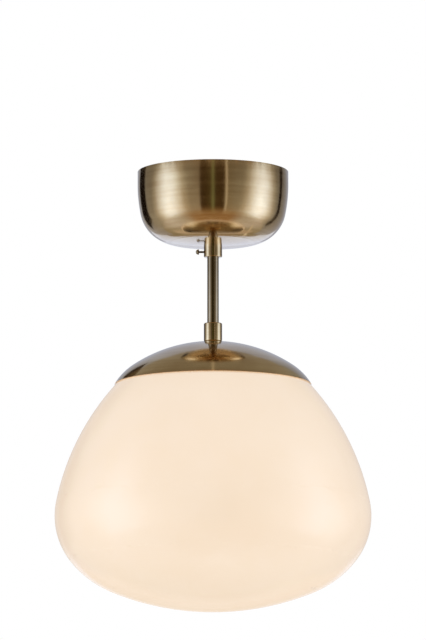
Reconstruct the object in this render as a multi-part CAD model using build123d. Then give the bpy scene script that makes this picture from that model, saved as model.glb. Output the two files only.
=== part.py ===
from build123d import *

import os
from math import acos, asin, cos, degrees, radians, sin, sqrt
from typing import NamedTuple

# A ceiling light: a spun canopy and a dome cap of antique brass on a short stem,
# over a blown opal glass shade with a lamp inside. Millimetres, +Z up. The origin
# is on the ceiling plane and on the stem's axis. The clamp screw points along -X.

# Clearances
thread_clearance = 0.05
pass_clearance = 0.3
slide_clearance = 0.1
screw_clearance = 0.08
press_clearance = 0.15

# Ceiling bracket, a pressed steel strap with two slotted feet
bracket_sheet = 2.0
bracket_width = 28.0
bracket_drop = 14.0
bracket_bend_radius = 1.5
bracket_corner_radius = 4.5
slot_spacing = 104.0
slot_width = 5.2
slot_length = 14.0
slot_to_foot_end = 6.0
slot_to_leg = 5.0

# Hollow threaded nipples with their nuts and washers
nipple_r = 4.95
nipple_bore_r = 3.75
nipple_show = 2.0
nipple_grip = 14.0
nut_flats = 14.0
nut_height = 4.0
nut_chamfer = 0.6
washer_r = 10.0
washer_sheet = 1.2
tooth_washer_r = 8.5
tooth_washer_sheet = 1.0
tooth_count = 10
tooth_gap = 1.6
tooth_depth = 1.5

# Stem and its two collars
stem_r = 6.4
stem_show = 74.0
stem_socket_depth = 15.0
collar_r = 10.15
collar_edge = 1.2
canopy_collar_height = 13.5
lower_collar_height = 21.8
lower_collar_foot = 3.2
land_margin = 0.3

# Clamp screw through the canopy collar
clamp_screw_drop = 7.4
clamp_screw_r = 1.3
clamp_screw_show = 5.4
clamp_tip_gap = 0.1
clamp_tip_chamfer = 0.3
clamp_head_r = 2.95
clamp_head_length = 3.6
clamp_head_rim = 1.2

# Canopy, spun from sheet
canopy_gap = 1.0
canopy_r = 83.9
canopy_depth = 82.5
canopy_sheet = 1.0
canopy_flank_radius = 167.0
canopy_flank_turn = 11.7
canopy_corner_radius = 40.0
canopy_floor_radius = 320.0

# Dome cap over the shade, spun from sheet
cap_height = 47.3
cap_sheet = 1.0
cap_crown_radius = 161.0
cap_crown_turn = 55.8
cap_edge_radius = 64.0

# Opal glass shade
glass_r = 175.0
glass_wall = 3.5
glass_gap = 0.4
glass_tuck = 4.0
glass_bend_radius = 45.0
glass_flank_radius = 276.0
glass_flank_turn = 11.3
glass_belly_radius = 79.0
glass_belly_turn = 38.8
glass_shoulder_radius = 111.0
glass_floor_radius = 298.0
neck_r = 40.0
neck_fillet = 4.0

# Screw ring on the glass neck, and the fitter that it screws into
ring_sheet = 1.2
ring_to_seat = 2.0
ring_lip = 3.0
gasket_height = 2.0
gasket_width = 5.0
fitter_sheet = 1.5
fitter_under_cap = 1.0
fitter_over_ring = 1.5
spacer_r = 9.0

# Lampholder for a 27 mm screw lamp
holder_r = 20.0
holder_wall = 2.0
holder_cap_height = 24.0
holder_body_height = 32.0
holder_boss_r = 9.0
holder_boss_height = 5.0
holder_shoulder_height = 9.0
holder_grip = 8.0
holder_taper = 1.4
holder_band = 6.0
holder_spigot = 5.0
holder_ledge_depth = 6.0
sleeve_sheet = 0.8
sleeve_height = 18.0
sleeve_flange = 2.0
core_height = 6.0
leaf_sheet = 0.8
leaf_width = 6.0
leaf_drop = 3.0
leaf_reach = 9.0
holder_wire_r = 2.4
holder_screw_r = 2.4
holder_screw_height = 2.5
holder_shank_r = 1.45
holder_shank_length = 4.0
holder_screw_spread = 11.0

# Screw lamp with a plastic housing and a diffuser
lamp_length = 107.0
lamp_thread_r = 13.1
lamp_thread_height = 20.0
lamp_base_sheet = 0.6
lamp_contact_r = 4.6
lamp_contact_height = 1.2
lamp_insulator_height = 3.5
lamp_bulb_r = 30.0
lamp_bulb_wall = 1.5
lamp_seam_height = 8.0
lamp_collar_height = 3.0
lamp_gap = 0.1

# Terminal block, its brass sleeves and its screws
pole_count = 3
pole_pitch = 9.0
pole_r = 4.2
pole_drop = 5.7
block_depth = 16.0
block_base = 2.5
block_gap = 2.0
block_tower_r = 3.0
block_tower_drop = 13.5
block_tower_spread = 8.4
block_boss_r = 2.9
terminal_r = 2.4
terminal_bore_r = 1.7
terminal_inset = 1.0
terminal_screw_r = 1.45
terminal_screw_inset = 0.8
block_screw_r = 1.45
block_screw_head_r = 2.7
block_screw_head_height = 2.0

# Earth screw and its washer
earth_screw_r = 1.95
earth_head_r = 3.6
earth_head_height = 2.6
earth_washer_r = 4.5
earth_washer_sheet = 1.0
screw_show = 1.0

# Heights from the ceiling down
web_top = -bracket_drop
web_under = web_top - bracket_sheet
stem_top = web_under - washer_sheet
bracket_nut_top = web_top + tooth_washer_sheet + nut_height
canopy_rim = -canopy_gap
canopy_land = canopy_rim - canopy_depth
collar_bottom = canopy_land - canopy_collar_height
clamp_axis = canopy_land - clamp_screw_drop
lower_collar_top = collar_bottom - stem_show
stem_bottom = lower_collar_top - stem_socket_depth
cap_top = lower_collar_top - lower_collar_height
cap_under = cap_top - cap_sheet
cap_rim = cap_top - cap_height

# Radii that several pieces share
thread_hole_r = nipple_r + thread_clearance
nipple_hole_r = nipple_r + pass_clearance
land_r = collar_r + land_margin
clamp_hole_r = clamp_screw_r + screw_clearance
neck_bore_r = neck_r - glass_wall
ring_bore_r = neck_r + press_clearance
ring_r = ring_bore_r + ring_sheet
fitter_bore_r = ring_r + pass_clearance
fitter_r = fitter_bore_r + fitter_sheet

# Places along the bracket
slot_end = slot_spacing / 2 + slot_length / 2
bracket_half = slot_end + slot_to_foot_end
leg_half = slot_spacing / 2 - slot_length / 2 - slot_to_leg
block_x = washer_r + block_gap + block_depth / 2
block_screw_y = pole_pitch / 2
block_boss_drop = pole_drop + pole_r

JOIN_TOLERANCE = 1e-6


class Arc(NamedTuple):
    """A round stretch of a turned profile: its centre, radius, and start and end angles."""

    r: float
    z: float
    radius: float
    start: float
    end: float

    def edge(self, inset=0.0):
        """The arc as an edge from start to end, moved inwards by the inset."""
        return CenterArc((self.r, self.z), self.radius - inset, self.start, self.end - self.start)

    def back(self, inset=0.0):
        """The same edge from end to start."""
        return CenterArc((self.r, self.z), self.radius - inset, self.end, self.start - self.end)

    def following(self, radius, end):
        """A second arc that leaves the end of this one along its tangent."""
        step = self.radius - radius
        angle = radians(self.end)
        return Arc(self.r + step * cos(angle), self.z + step * sin(angle), radius, self.end, end)

    def until_axis_arc(self, radius):
        """This arc cut where an arc of the given radius, centred on the axis, goes on from it."""
        return self._replace(end=-degrees(acos(self.r / (radius - self.radius))))

    def angle_at_height(self, z, inset=0.0):
        """The angle, on the outer side, at which the arc reaches a height."""
        return degrees(asin((z - self.z) / (self.radius - inset)))


def turned(*outline):
    """Turn an outline of (r, z) points and arcs, in order, about the Z axis."""
    edges = []
    for piece, following in zip(outline, outline[1:] + outline[:1]):
        if isinstance(piece, Edge):
            edges.append(piece)
        start = piece @ 1 if isinstance(piece, Edge) else Vector(*piece)
        end = following @ 0 if isinstance(following, Edge) else Vector(*following)
        if (end - start).length > JOIN_TOLERANCE:
            edges.append(Line(start, end))
    return revolve(Plane.XZ * make_face(edges), Axis.Z)


def ring(outer_r, inner_r, bottom, top):
    """A plain ring about the Z axis."""
    return turned((inner_r, bottom), (outer_r, bottom), (outer_r, top), (inner_r, top))


def rod(radius, bottom, top):
    """A plain round bar along the Z axis."""
    return turned((0, bottom), (radius, bottom), (radius, top), (0, top))


def along_x(part):
    """Lay a piece made along +Z down along +X."""
    return Rot(0, 90, 0) * part


def hex_nut(bottom):
    """A chamfered nut for the nipple thread, standing on the given height."""
    top = bottom + nut_height
    corner_r = nut_flats / sqrt(3)
    blank = turned(
        (thread_hole_r, bottom),
        (corner_r - nut_chamfer, bottom),
        (corner_r, bottom + nut_chamfer),
        (corner_r, top - nut_chamfer),
        (corner_r - nut_chamfer, top),
        (thread_hole_r, top),
    )
    hexagon = RegularPolygon(nut_flats / 2, 6, major_radius=False)
    return blank & Pos(0, 0, bottom) * extrude(hexagon, nut_height)


def pan_screw(head_r, head_height, shank_r, shank_length):
    """A screw along +Z with its head below zero and its shank above."""
    head = Arc(0, head_dome_centre(head_r, head_height), head_dome_radius(head_r, head_height), -90, 0)
    edge_angle = -degrees(acos(head_r / head.radius))
    dome = head._replace(end=edge_angle)
    return turned(dome.edge(), (head_r, 0), (shank_r, 0), (shank_r, shank_length), (0, shank_length))


def head_dome_radius(head_r, head_height):
    """The radius of a screw head's crown, which takes up half of the head's height."""
    crown = head_height / 2
    return (head_r**2 + crown**2) / (2 * crown)


def head_dome_centre(head_r, head_height):
    """The height of that crown's centre above the head's far side."""
    return head_dome_radius(head_r, head_height) - head_height


# Ceiling bracket


def ceiling_bracket():
    """A hat-shaped strap: two slotted feet on the ceiling and a web below them."""
    foot_under = -bracket_sheet
    outer_half = leg_half + bracket_sheet
    side = [
        (bracket_half, 0),
        (bracket_half, foot_under),
        (outer_half, foot_under),
        (outer_half, web_under),
    ]
    upper = [(leg_half, web_top), (leg_half, 0)]
    outline = side + [(-x, z) for x, z in reversed(side)]
    outline += [(-x, z) for x, z in reversed(upper)] + upper
    profile = Plane.XZ * make_face(Polyline(*outline, close=True))
    strap = extrude(profile, bracket_width / 2, both=True)

    def bend_edges(x, z):
        return [
            edge
            for edge in strap.edges().filter_by(Axis.Y)
            if abs(abs(edge.center().X) - x) < JOIN_TOLERANCE and abs(edge.center().Z - z) < JOIN_TOLERANCE
        ]

    inside = bend_edges(outer_half, foot_under) + bend_edges(leg_half, web_top)
    outside = bend_edges(leg_half, 0) + bend_edges(outer_half, web_under)
    strap = fillet(inside, bracket_bend_radius)
    strap = fillet([nearest_edge(strap, edge) for edge in outside], bracket_bend_radius + bracket_sheet)
    corners = strap.edges().filter_by(Axis.Z).group_by(SortBy.LENGTH)[0]
    strap = fillet(corners, bracket_corner_radius)
    slot = extrude(SlotOverall(slot_length, slot_width), bracket_sheet, both=True)
    for x in (-slot_spacing / 2, slot_spacing / 2):
        strap -= Pos(x, 0, 0) * slot
    strap -= rod(nipple_hole_r, web_under, web_top)
    strap -= Pos(block_x, block_screw_y, 0) * rod(block_screw_r + thread_clearance, web_under, web_top)
    strap -= Pos(-block_x, 0, 0) * rod(earth_screw_r + thread_clearance, web_under, web_top)
    return strap


def nearest_edge(part, edge):
    """The edge of a part that lies where the given edge lay."""
    return min(part.edges().filter_by(Axis.Y), key=lambda other: (other.center() - edge.center()).length)


def stem_washer():
    """The flat washer between the stem's end and the bracket."""
    return ring(washer_r, nipple_hole_r, stem_top, web_under)


def tooth_washer():
    """The toothed washer under the bracket's nut."""
    washer = ring(tooth_washer_r, nipple_hole_r, web_top, web_top + tooth_washer_sheet)
    notch = Box(tooth_depth, tooth_gap, tooth_washer_sheet, align=(Align.MAX, Align.CENTER, Align.MIN))
    return washer - [place * notch for place in notch_places()]


def notch_places():
    """The places of the gaps between the washer's teeth."""
    return [
        Rot(0, 0, 360 / tooth_count * index) * Pos(tooth_washer_r + JOIN_TOLERANCE, 0, web_top)
        for index in range(tooth_count)
    ]


def bracket_nut():
    """The nut that draws the stem up against the bracket."""
    return hex_nut(web_top + tooth_washer_sheet)


def upper_nipple():
    """The hollow threaded nipple from the bracket's nut down into the stem."""
    return ring(nipple_r, nipple_bore_r, stem_top - nipple_grip, bracket_nut_top + nipple_show)


# Terminal block and earth screw


def pole_places():
    """The distance of each pole of the block from its middle, along Y."""
    return [(index - (pole_count - 1) / 2) * pole_pitch for index in range(pole_count)]


def terminal_places():
    """The place of each terminal screw."""
    return [
        (block_x + side * block_tower_spread / 2, y)
        for y in pole_places()
        for side in (-1, 1)
    ]


def terminal_block():
    """The moulded block under the web: a base, one barrel a pole, screw towers and a fixing boss."""
    half = block_depth / 2
    pole_axis = web_under - pole_drop
    length = (pole_count - 1) * pole_pitch + 2 * pole_r
    base = Pos(block_x, 0, web_under) * Box(
        block_depth, length, block_base, align=(Align.CENTER, Align.CENTER, Align.MAX)
    )
    barrels = [Pos(block_x, y, pole_axis) * along_x(rod(pole_r, -half, half)) for y in pole_places()]
    towers = [
        Pos(x, y, 0) * rod(block_tower_r, web_under - block_tower_drop, pole_axis) for x, y in terminal_places()
    ]
    boss = Pos(block_x, block_screw_y, 0) * rod(block_boss_r, web_under - block_boss_drop, web_under)
    block = base + barrels + towers + boss
    for y in pole_places():
        block -= Pos(block_x, y, pole_axis) * along_x(rod(terminal_r + thread_clearance, -half, half))
    for x, y in terminal_places():
        hole = rod(terminal_screw_r + screw_clearance, web_under - block_tower_drop, pole_axis)
        block -= Pos(x, y, 0) * hole
    fixing = rod(block_screw_r + screw_clearance, web_under - block_boss_drop, web_under)
    return block - Pos(block_x, block_screw_y, 0) * fixing


def terminal_sleeves():
    """The brass sleeves that hold the wires, one a pole."""
    half = block_depth / 2 - terminal_inset
    pole_axis = web_under - pole_drop
    sleeves = Part() + [
        Pos(block_x, y, pole_axis) * along_x(ring(terminal_r, terminal_bore_r, -half, half))
        for y in pole_places()
    ]
    hole = rod(terminal_screw_r + thread_clearance, pole_axis - terminal_r, pole_axis)
    return sleeves - [Pos(x, y, 0) * hole for x, y in terminal_places()]


def terminal_screws():
    """The grub screws that clamp the wires, two a pole."""
    bottom = web_under - block_tower_drop + terminal_screw_inset
    top = web_under - pole_drop - terminal_bore_r / 2
    return Part() + [Pos(x, y, 0) * rod(terminal_screw_r, bottom, top) for x, y in terminal_places()]


def block_screw():
    """The screw that holds the block to the web."""
    shank = block_boss_drop + bracket_sheet + screw_show
    screw = pan_screw(block_screw_head_r, block_screw_head_height, block_screw_r, shank)
    return Pos(block_x, block_screw_y, web_under - block_boss_drop) * screw


def earth_washer():
    """The washer under the earth screw's head."""
    bottom = web_under - earth_washer_sheet
    return Pos(-block_x, 0, 0) * ring(earth_washer_r, earth_screw_r + pass_clearance, bottom, web_under)


def earth_screw():
    """The earth screw, tapped into the web from below."""
    shank = earth_washer_sheet + bracket_sheet + screw_show
    screw = pan_screw(earth_head_r, earth_head_height, earth_screw_r, shank)
    return Pos(-block_x, 0, web_under - earth_washer_sheet) * screw


# Stem and collars


def stem_tube():
    """The brass tube that carries the light."""
    return ring(stem_r, thread_hole_r, stem_bottom, stem_top)


def canopy_collar():
    """The sliding collar that carries the canopy, with the clamp screw's hole on the -X side."""
    bore_r = stem_r + slide_clearance
    collar = turned(
        (bore_r, canopy_land),
        (collar_r, canopy_land),
        CenterArc((collar_r - collar_edge, collar_bottom + collar_edge), collar_edge, 0, -90),
        (bore_r, collar_bottom),
    )
    return collar - Pos(0, 0, clamp_axis) * along_x(rod(clamp_hole_r, -collar_r, 0))


def clamp_screw():
    """The thumb screw with a crowned head, from the stem's side out along -X."""
    tip = stem_r + clamp_tip_gap
    head = collar_r + clamp_screw_show
    rim = head + clamp_head_rim
    end = head + clamp_head_length
    crown = end - rim
    radius = (clamp_head_r**2 + crown**2) / (2 * crown)
    angle = degrees(asin((rim - end + radius) / radius))
    screw = turned(
        (0, tip),
        (clamp_screw_r - clamp_tip_chamfer, tip),
        (clamp_screw_r, tip + clamp_tip_chamfer),
        (clamp_screw_r, head),
        (clamp_head_r, head),
        CenterArc((0, end - radius), radius, angle, 90 - angle),
    )
    return Pos(0, 0, clamp_axis) * Rot(0, -90, 0) * screw


def lower_collar():
    """The fixed collar: a socket for the stem above and a threaded floor below."""
    socket_r = stem_r + press_clearance
    return turned(
        (thread_hole_r, cap_top),
        CenterArc((collar_r - lower_collar_foot, cap_top + lower_collar_foot), lower_collar_foot, -90, 90),
        CenterArc((collar_r - collar_edge, lower_collar_top - collar_edge), collar_edge, 0, 90),
        (socket_r, lower_collar_top),
        (socket_r, stem_bottom),
        (thread_hole_r, stem_bottom),
    )


# Canopy


def canopy_arcs():
    """The canopy's flank, corner and floor arcs, with the flat round the stem at its height."""
    flank = Arc(canopy_r - canopy_flank_radius, 0, canopy_flank_radius, 0, -canopy_flank_turn)
    corner = flank.following(canopy_corner_radius, -90).until_axis_arc(canopy_floor_radius)
    floor = corner.following(canopy_floor_radius, -degrees(acos(land_r / canopy_floor_radius)))
    lift = canopy_land - (floor.z - sqrt(canopy_floor_radius**2 - land_r**2))
    return [arc._replace(z=arc.z + lift) for arc in (flank, corner, floor)]


def canopy():
    """The spun cup that hides the bracket, with a flat and a hole for the stem."""
    flank, corner, floor = canopy_arcs()
    hole_r = stem_r + pass_clearance
    inner_land = canopy_land + canopy_sheet
    inner_floor = floor._replace(end=floor.angle_at_height(inner_land, canopy_sheet))
    return turned(
        (canopy_r - canopy_sheet, canopy_rim),
        (canopy_r, canopy_rim),
        flank.edge(),
        corner.edge(),
        floor.edge(),
        (hole_r, canopy_land),
        (hole_r, inner_land),
        inner_floor.back(canopy_sheet),
        corner.back(canopy_sheet),
        flank.back(canopy_sheet),
    )


# Dome cap


def cap_arcs():
    """The cap's crown and edge arcs, from the flat under the collar down to the rim."""
    centre = cap_top - sqrt(cap_crown_radius**2 - land_r**2)
    crown = Arc(0, centre, cap_crown_radius, degrees(acos(land_r / cap_crown_radius)), cap_crown_turn)
    edge = crown.following(cap_edge_radius, 0)
    return crown, edge._replace(end=edge.angle_at_height(cap_rim))


def cap_inner_rim_r():
    """The radius of the inside of the cap's rim."""
    edge = cap_arcs()[1]
    inner_r = cap_edge_radius - cap_sheet
    return edge.r + sqrt(inner_r**2 - (cap_rim - edge.z) ** 2)


def shade_cap():
    """The spun dome over the shade, with a flat and a hole for the nipple."""
    crown, edge = cap_arcs()
    inner_crown = crown._replace(start=crown.angle_at_height(cap_under, cap_sheet))
    inner_edge = edge._replace(end=edge.angle_at_height(cap_rim, cap_sheet))
    return turned(
        (nipple_hole_r, cap_top),
        crown.edge(),
        edge.edge(),
        inner_edge.back(cap_sheet),
        inner_crown.back(cap_sheet),
        (nipple_hole_r, cap_under),
    )


# Fitter under the cap. It sits as high as the cap's inside allows.

crown_arc = cap_arcs()[0]
fitter_top = crown_arc.z + sqrt((cap_crown_radius - cap_sheet) ** 2 - fitter_r**2) - fitter_under_cap
fitter_under = fitter_top - fitter_sheet
ring_top = fitter_under - gasket_height
neck_top = ring_top - ring_sheet - press_clearance
fitter_nut_bottom = fitter_under - washer_sheet - nut_height
holder_top = fitter_nut_bottom


def glass_arcs():
    """The outer arcs of the glass, from the bend under the cap down to the pole.

    The flank lies a small gap below the inner edge of the cap's rim.
    """
    step = glass_flank_radius - glass_belly_radius
    centre_r = glass_r - glass_belly_radius - step * cos(radians(glass_flank_turn))
    rim_r = cap_inner_rim_r()
    centre_z = cap_rim - sqrt((glass_flank_radius + glass_gap) ** 2 - (rim_r - centre_r) ** 2)
    top_angle = degrees(acos((rim_r - glass_tuck - centre_r) / glass_flank_radius))
    flank = Arc(centre_r, centre_z, glass_flank_radius, top_angle, glass_flank_turn)
    belly = flank.following(glass_belly_radius, -glass_belly_turn)
    shoulder = belly.following(glass_shoulder_radius, -90).until_axis_arc(glass_floor_radius)
    floor = shoulder.following(glass_floor_radius, -90)
    back = flank._replace(end=top_angle).following(glass_bend_radius, 90)
    bend = back._replace(start=90, end=top_angle)
    return bend, flank, belly, shoulder, floor


glass_bend = glass_arcs()[0]
glass_seat = glass_bend.z + glass_bend_radius
ring_bottom = glass_seat + neck_fillet + ring_to_seat
fitter_bottom = ring_bottom + fitter_over_ring


def cap_spacer():
    """The bush on the nipple that holds the fitter below the dome."""
    return ring(spacer_r, nipple_hole_r, fitter_top, cap_under)


def shade_fitter():
    """The threaded fitter: a plate on the nipple with a skirt for the glass's screw ring."""
    return turned(
        (nipple_hole_r, fitter_under),
        (fitter_bore_r, fitter_under),
        (fitter_bore_r, fitter_bottom),
        (fitter_r, fitter_bottom),
        (fitter_r, fitter_top),
        (nipple_hole_r, fitter_top),
    )


def fitter_washer():
    """The washer between the fitter and its nut."""
    return ring(washer_r, nipple_hole_r, fitter_under - washer_sheet, fitter_under)


def fitter_nut():
    """The nut that draws the cap and the fitter up against the lower collar."""
    return hex_nut(fitter_nut_bottom)


def lower_nipple():
    """The hollow threaded nipple from the stem's end down into the lampholder."""
    top = min(stem_bottom + nipple_grip, lower_collar_top)
    return ring(nipple_r, nipple_bore_r, holder_top - holder_grip, top)


# Glass shade


def glass_shade():
    """The blown shade: a neck, a seat under the cap, and one tangent run of arcs to the pole."""
    arcs = glass_arcs()
    fillet_centre = (neck_r + neck_fillet, glass_seat + neck_fillet)
    return turned(
        (neck_bore_r, neck_top),
        (neck_r, neck_top),
        CenterArc(fillet_centre, neck_fillet, 180, 90),
        *[arc.edge() for arc in arcs],
        *[arc.back(glass_wall) for arc in reversed(arcs)],
        CenterArc(fillet_centre, neck_fillet + glass_wall, 270, -90),
    )


def neck_ring():
    """The screw ring on the glass's neck, with a lip over the neck's end."""
    lip_under = ring_top - ring_sheet
    return turned(
        (neck_r - ring_lip, lip_under),
        (ring_bore_r, lip_under),
        (ring_bore_r, ring_bottom),
        (ring_r, ring_bottom),
        (ring_r, ring_top),
        (neck_r - ring_lip, ring_top),
    )


def shade_gasket():
    """The soft ring between the screw ring and the fitter."""
    return ring(ring_r, ring_r - gasket_width, ring_top, fitter_under)


# Lampholder

holder_seam = holder_top - holder_cap_height
holder_mouth = holder_seam - holder_body_height
holder_ledge = holder_seam - holder_ledge_depth
holder_bore_r = holder_r - holder_wall
spigot_r = holder_bore_r - press_clearance
sleeve_bore_r = lamp_thread_r + pass_clearance
sleeve_r = sleeve_bore_r + sleeve_sheet
flange_r = sleeve_r + sleeve_flange
core_under = holder_ledge + sleeve_sheet
core_top = core_under + core_height


def lampholder_cap():
    """The holder's upper half, screwed onto the nipple."""
    shoulder = holder_top - holder_boss_height
    skirt = shoulder - holder_shoulder_height
    inner_shoulder = min(shoulder - holder_wall, holder_top - holder_grip)
    return turned(
        (thread_hole_r, holder_top),
        (holder_boss_r, holder_top),
        (holder_boss_r, shoulder),
        (holder_r, skirt),
        (holder_r, holder_seam),
        (holder_bore_r, holder_seam),
        (holder_bore_r, skirt - holder_wall / 2),
        (holder_boss_r, inner_shoulder),
        (thread_hole_r, inner_shoulder),
    )


def lampholder_body():
    """The holder's lower half: a spigot in the cap, a banded rim and a tapered skirt."""
    socket_r = flange_r + pass_clearance
    mouth_r = sleeve_r + pass_clearance
    return turned(
        (socket_r, holder_seam + holder_spigot),
        (spigot_r, holder_seam + holder_spigot),
        (spigot_r, holder_seam),
        (holder_r, holder_seam),
        (holder_r, holder_seam - holder_band),
        (holder_r - holder_taper / 2, holder_seam - holder_band),
        (holder_r - holder_taper, holder_mouth),
        (mouth_r, holder_mouth),
        (mouth_r, holder_ledge),
        (socket_r, holder_ledge),
    )


def lampholder_sleeve():
    """The metal screw sleeve, hung by its flange on the body's ledge."""
    return turned(
        (sleeve_bore_r, holder_ledge - sleeve_height),
        (sleeve_r, holder_ledge - sleeve_height),
        (sleeve_r, holder_ledge),
        (flange_r, holder_ledge),
        (flange_r, core_under),
        (sleeve_bore_r, core_under),
    )


def lampholder_core():
    """The insulating disc that carries the contacts, with two wire holes and two tapped ones."""
    core = rod(flange_r, core_under, core_top)
    wire_hole = rod(holder_wire_r, core_under, core_top)
    screw_hole = rod(holder_shank_r + thread_clearance, core_top - holder_shank_length, core_top)
    for side in (-1, 1):
        core -= Pos(0, side * holder_screw_spread, 0) * wire_hole
        core -= Pos(side * holder_screw_spread, 0, 0) * screw_hole
    return core


def lampholder_screws():
    """The two terminal screws on the core."""
    screw = pan_screw(holder_screw_r, holder_screw_height, holder_shank_r, holder_shank_length)
    places = [Pos(side * holder_screw_spread, 0, core_top) for side in (-1, 1)]
    return Part() + [place * Rot(180, 0, 0) * screw for place in places]


def lampholder_leaf():
    """The sprung centre contact: a strip fixed under the core, bent down to the lamp."""
    low = core_under - leaf_drop
    bend = leaf_reach / 2
    strip = Polyline(
        (leaf_reach, core_under),
        (bend, core_under),
        (lamp_contact_r / 2, low),
        (-lamp_contact_r, low),
        (-lamp_contact_r, low - leaf_sheet),
        (lamp_contact_r / 2 + leaf_sheet / 2, low - leaf_sheet),
        (bend + leaf_sheet / 2, core_under - leaf_sheet),
        (leaf_reach, core_under - leaf_sheet),
        close=True,
    )
    return extrude(Plane.XZ * make_face(strip), leaf_width / 2, both=True)


# Lamp

lamp_tip = core_under - leaf_drop - leaf_sheet - lamp_gap
lamp_insulator_top = lamp_tip - lamp_contact_height
lamp_thread_top = lamp_insulator_top - lamp_insulator_height
lamp_thread_bottom = lamp_thread_top - lamp_thread_height
lamp_collar_bottom = lamp_thread_bottom - lamp_collar_height
lamp_centre = lamp_tip - lamp_length + lamp_bulb_r
lamp_seam = lamp_centre + lamp_seam_height
lamp_seam_r = sqrt(lamp_bulb_r**2 - lamp_seam_height**2)
lamp_core_r = lamp_thread_r - lamp_base_sheet - press_clearance


def lamp_contact():
    """The button at the lamp's tip."""
    return rod(lamp_contact_r, lamp_insulator_top, lamp_tip)


def lamp_insulator():
    """The insulating cone between the button and the screw shell."""
    return turned(
        (0, lamp_thread_top),
        (lamp_thread_r, lamp_thread_top),
        (lamp_contact_r, lamp_insulator_top),
        (0, lamp_insulator_top),
    )


def lamp_shell():
    """The lamp's metal screw shell."""
    return ring(lamp_thread_r, lamp_thread_r - lamp_base_sheet, lamp_thread_bottom, lamp_thread_top)


def lamp_housing():
    """The plastic housing: a plug in the screw shell, a collar and a body that runs on into the ball."""
    flare = TangentArc(
        (lamp_seam_r, lamp_seam),
        (lamp_thread_r, lamp_collar_bottom),
        tangent=(-lamp_seam_height, lamp_seam_r),
    )
    return turned(
        (0, lamp_thread_top),
        (0, lamp_seam),
        flare,
        (lamp_thread_r, lamp_thread_bottom),
        (lamp_core_r, lamp_thread_bottom),
        (lamp_core_r, lamp_thread_top),
    )


def lamp_diffuser():
    """The lamp's milky bulb, a thin ball closed against the housing."""
    ball = Arc(0, lamp_centre, lamp_bulb_r, -90, degrees(asin(lamp_seam_height / lamp_bulb_r)))
    inner_end = ball.angle_at_height(lamp_seam, lamp_bulb_wall)
    return turned(ball.edge(), ball._replace(end=inner_end).back(lamp_bulb_wall))


NODES = [
    ceiling_bracket,
    stem_washer,
    tooth_washer,
    bracket_nut,
    upper_nipple,
    terminal_block,
    terminal_sleeves,
    terminal_screws,
    block_screw,
    earth_washer,
    earth_screw,
    stem_tube,
    canopy_collar,
    clamp_screw,
    lower_collar,
    canopy,
    shade_cap,
    cap_spacer,
    shade_fitter,
    fitter_washer,
    fitter_nut,
    lower_nipple,
    glass_shade,
    neck_ring,
    shade_gasket,
    lampholder_cap,
    lampholder_body,
    lampholder_sleeve,
    lampholder_core,
    lampholder_screws,
    lampholder_leaf,
    lamp_contact,
    lamp_insulator,
    lamp_shell,
    lamp_housing,
    lamp_diffuser,
]


def main():
    """Write one STEP file for each piece."""
    os.makedirs("parts", exist_ok=True)
    for node in NODES:
        export_step(node(), f"parts/{node.__name__}.step")


if __name__ == "__main__":
    main()
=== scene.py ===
"""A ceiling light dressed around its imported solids: brushed antique brass over a lit shade of opal glass.

Sizes in the classes below are millimetres, like the solids that they stand for, and a piece is scaled to the
scene's metres when it is finished. The studio's sizes are metres. Angles are degrees where nothing else is
said. +Z is up, the origin is where the stem's axis meets the ceiling, and the camera looks along +Y.
"""

import logging
import math
from dataclasses import dataclass, field, replace
from enum import Enum
from functools import partial
from typing import Any, Iterable, Sequence

import bmesh
import bpy
from bmesh.types import BMEdge, BMesh, BMFace, BMVert
from bpy.types import ID, Material, Node, NodeSocket, NodeTree, Object
from mathutils import Matrix, Vector


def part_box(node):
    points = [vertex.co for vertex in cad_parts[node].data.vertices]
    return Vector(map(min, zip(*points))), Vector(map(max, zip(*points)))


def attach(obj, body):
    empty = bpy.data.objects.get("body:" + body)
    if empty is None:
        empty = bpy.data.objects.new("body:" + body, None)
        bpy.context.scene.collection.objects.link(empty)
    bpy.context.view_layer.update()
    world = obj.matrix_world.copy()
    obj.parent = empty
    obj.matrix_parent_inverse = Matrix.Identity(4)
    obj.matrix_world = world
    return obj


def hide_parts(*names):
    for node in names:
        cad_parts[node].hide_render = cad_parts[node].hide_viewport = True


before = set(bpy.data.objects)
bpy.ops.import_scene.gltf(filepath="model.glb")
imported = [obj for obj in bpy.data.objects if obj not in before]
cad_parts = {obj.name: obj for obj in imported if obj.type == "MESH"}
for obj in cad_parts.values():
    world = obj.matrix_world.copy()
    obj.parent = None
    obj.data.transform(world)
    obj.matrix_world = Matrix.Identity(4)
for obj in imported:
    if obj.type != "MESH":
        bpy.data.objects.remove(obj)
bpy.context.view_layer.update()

log = logging.getLogger("ceiling_light")

MM = 0.001

# Drawing tolerances, in millimetres and degrees
WELD = 1e-4
ARC_TURN = 3.0
SHARP_TURN = 30.0
# A turned piece is spun as one sector, which is then copied round, since a long spin is slow
SECTORS = 8
# The least rise of a normal on the top of a screw's head
UPWARD = 0.5
# The sockets of a Mix node that mixes colours
MIX_A = 6
MIX_B = 7
MIX_OUT = 2
# The surface shader of a new material
SURFACE = "Principled BSDF"
WHITE = "#FFFFFF"
BLACK = "#000000"

Point = tuple[float, float]
Pair = tuple[float, float]
Inputs = dict[str | int, Any]
Stop = tuple[float, str]


def room(node: str) -> tuple[Vector, Vector]:
    """The lowest and the highest corner of a CAD node, in millimetres."""
    low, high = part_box(node)
    return low / MM, high / MM


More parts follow.
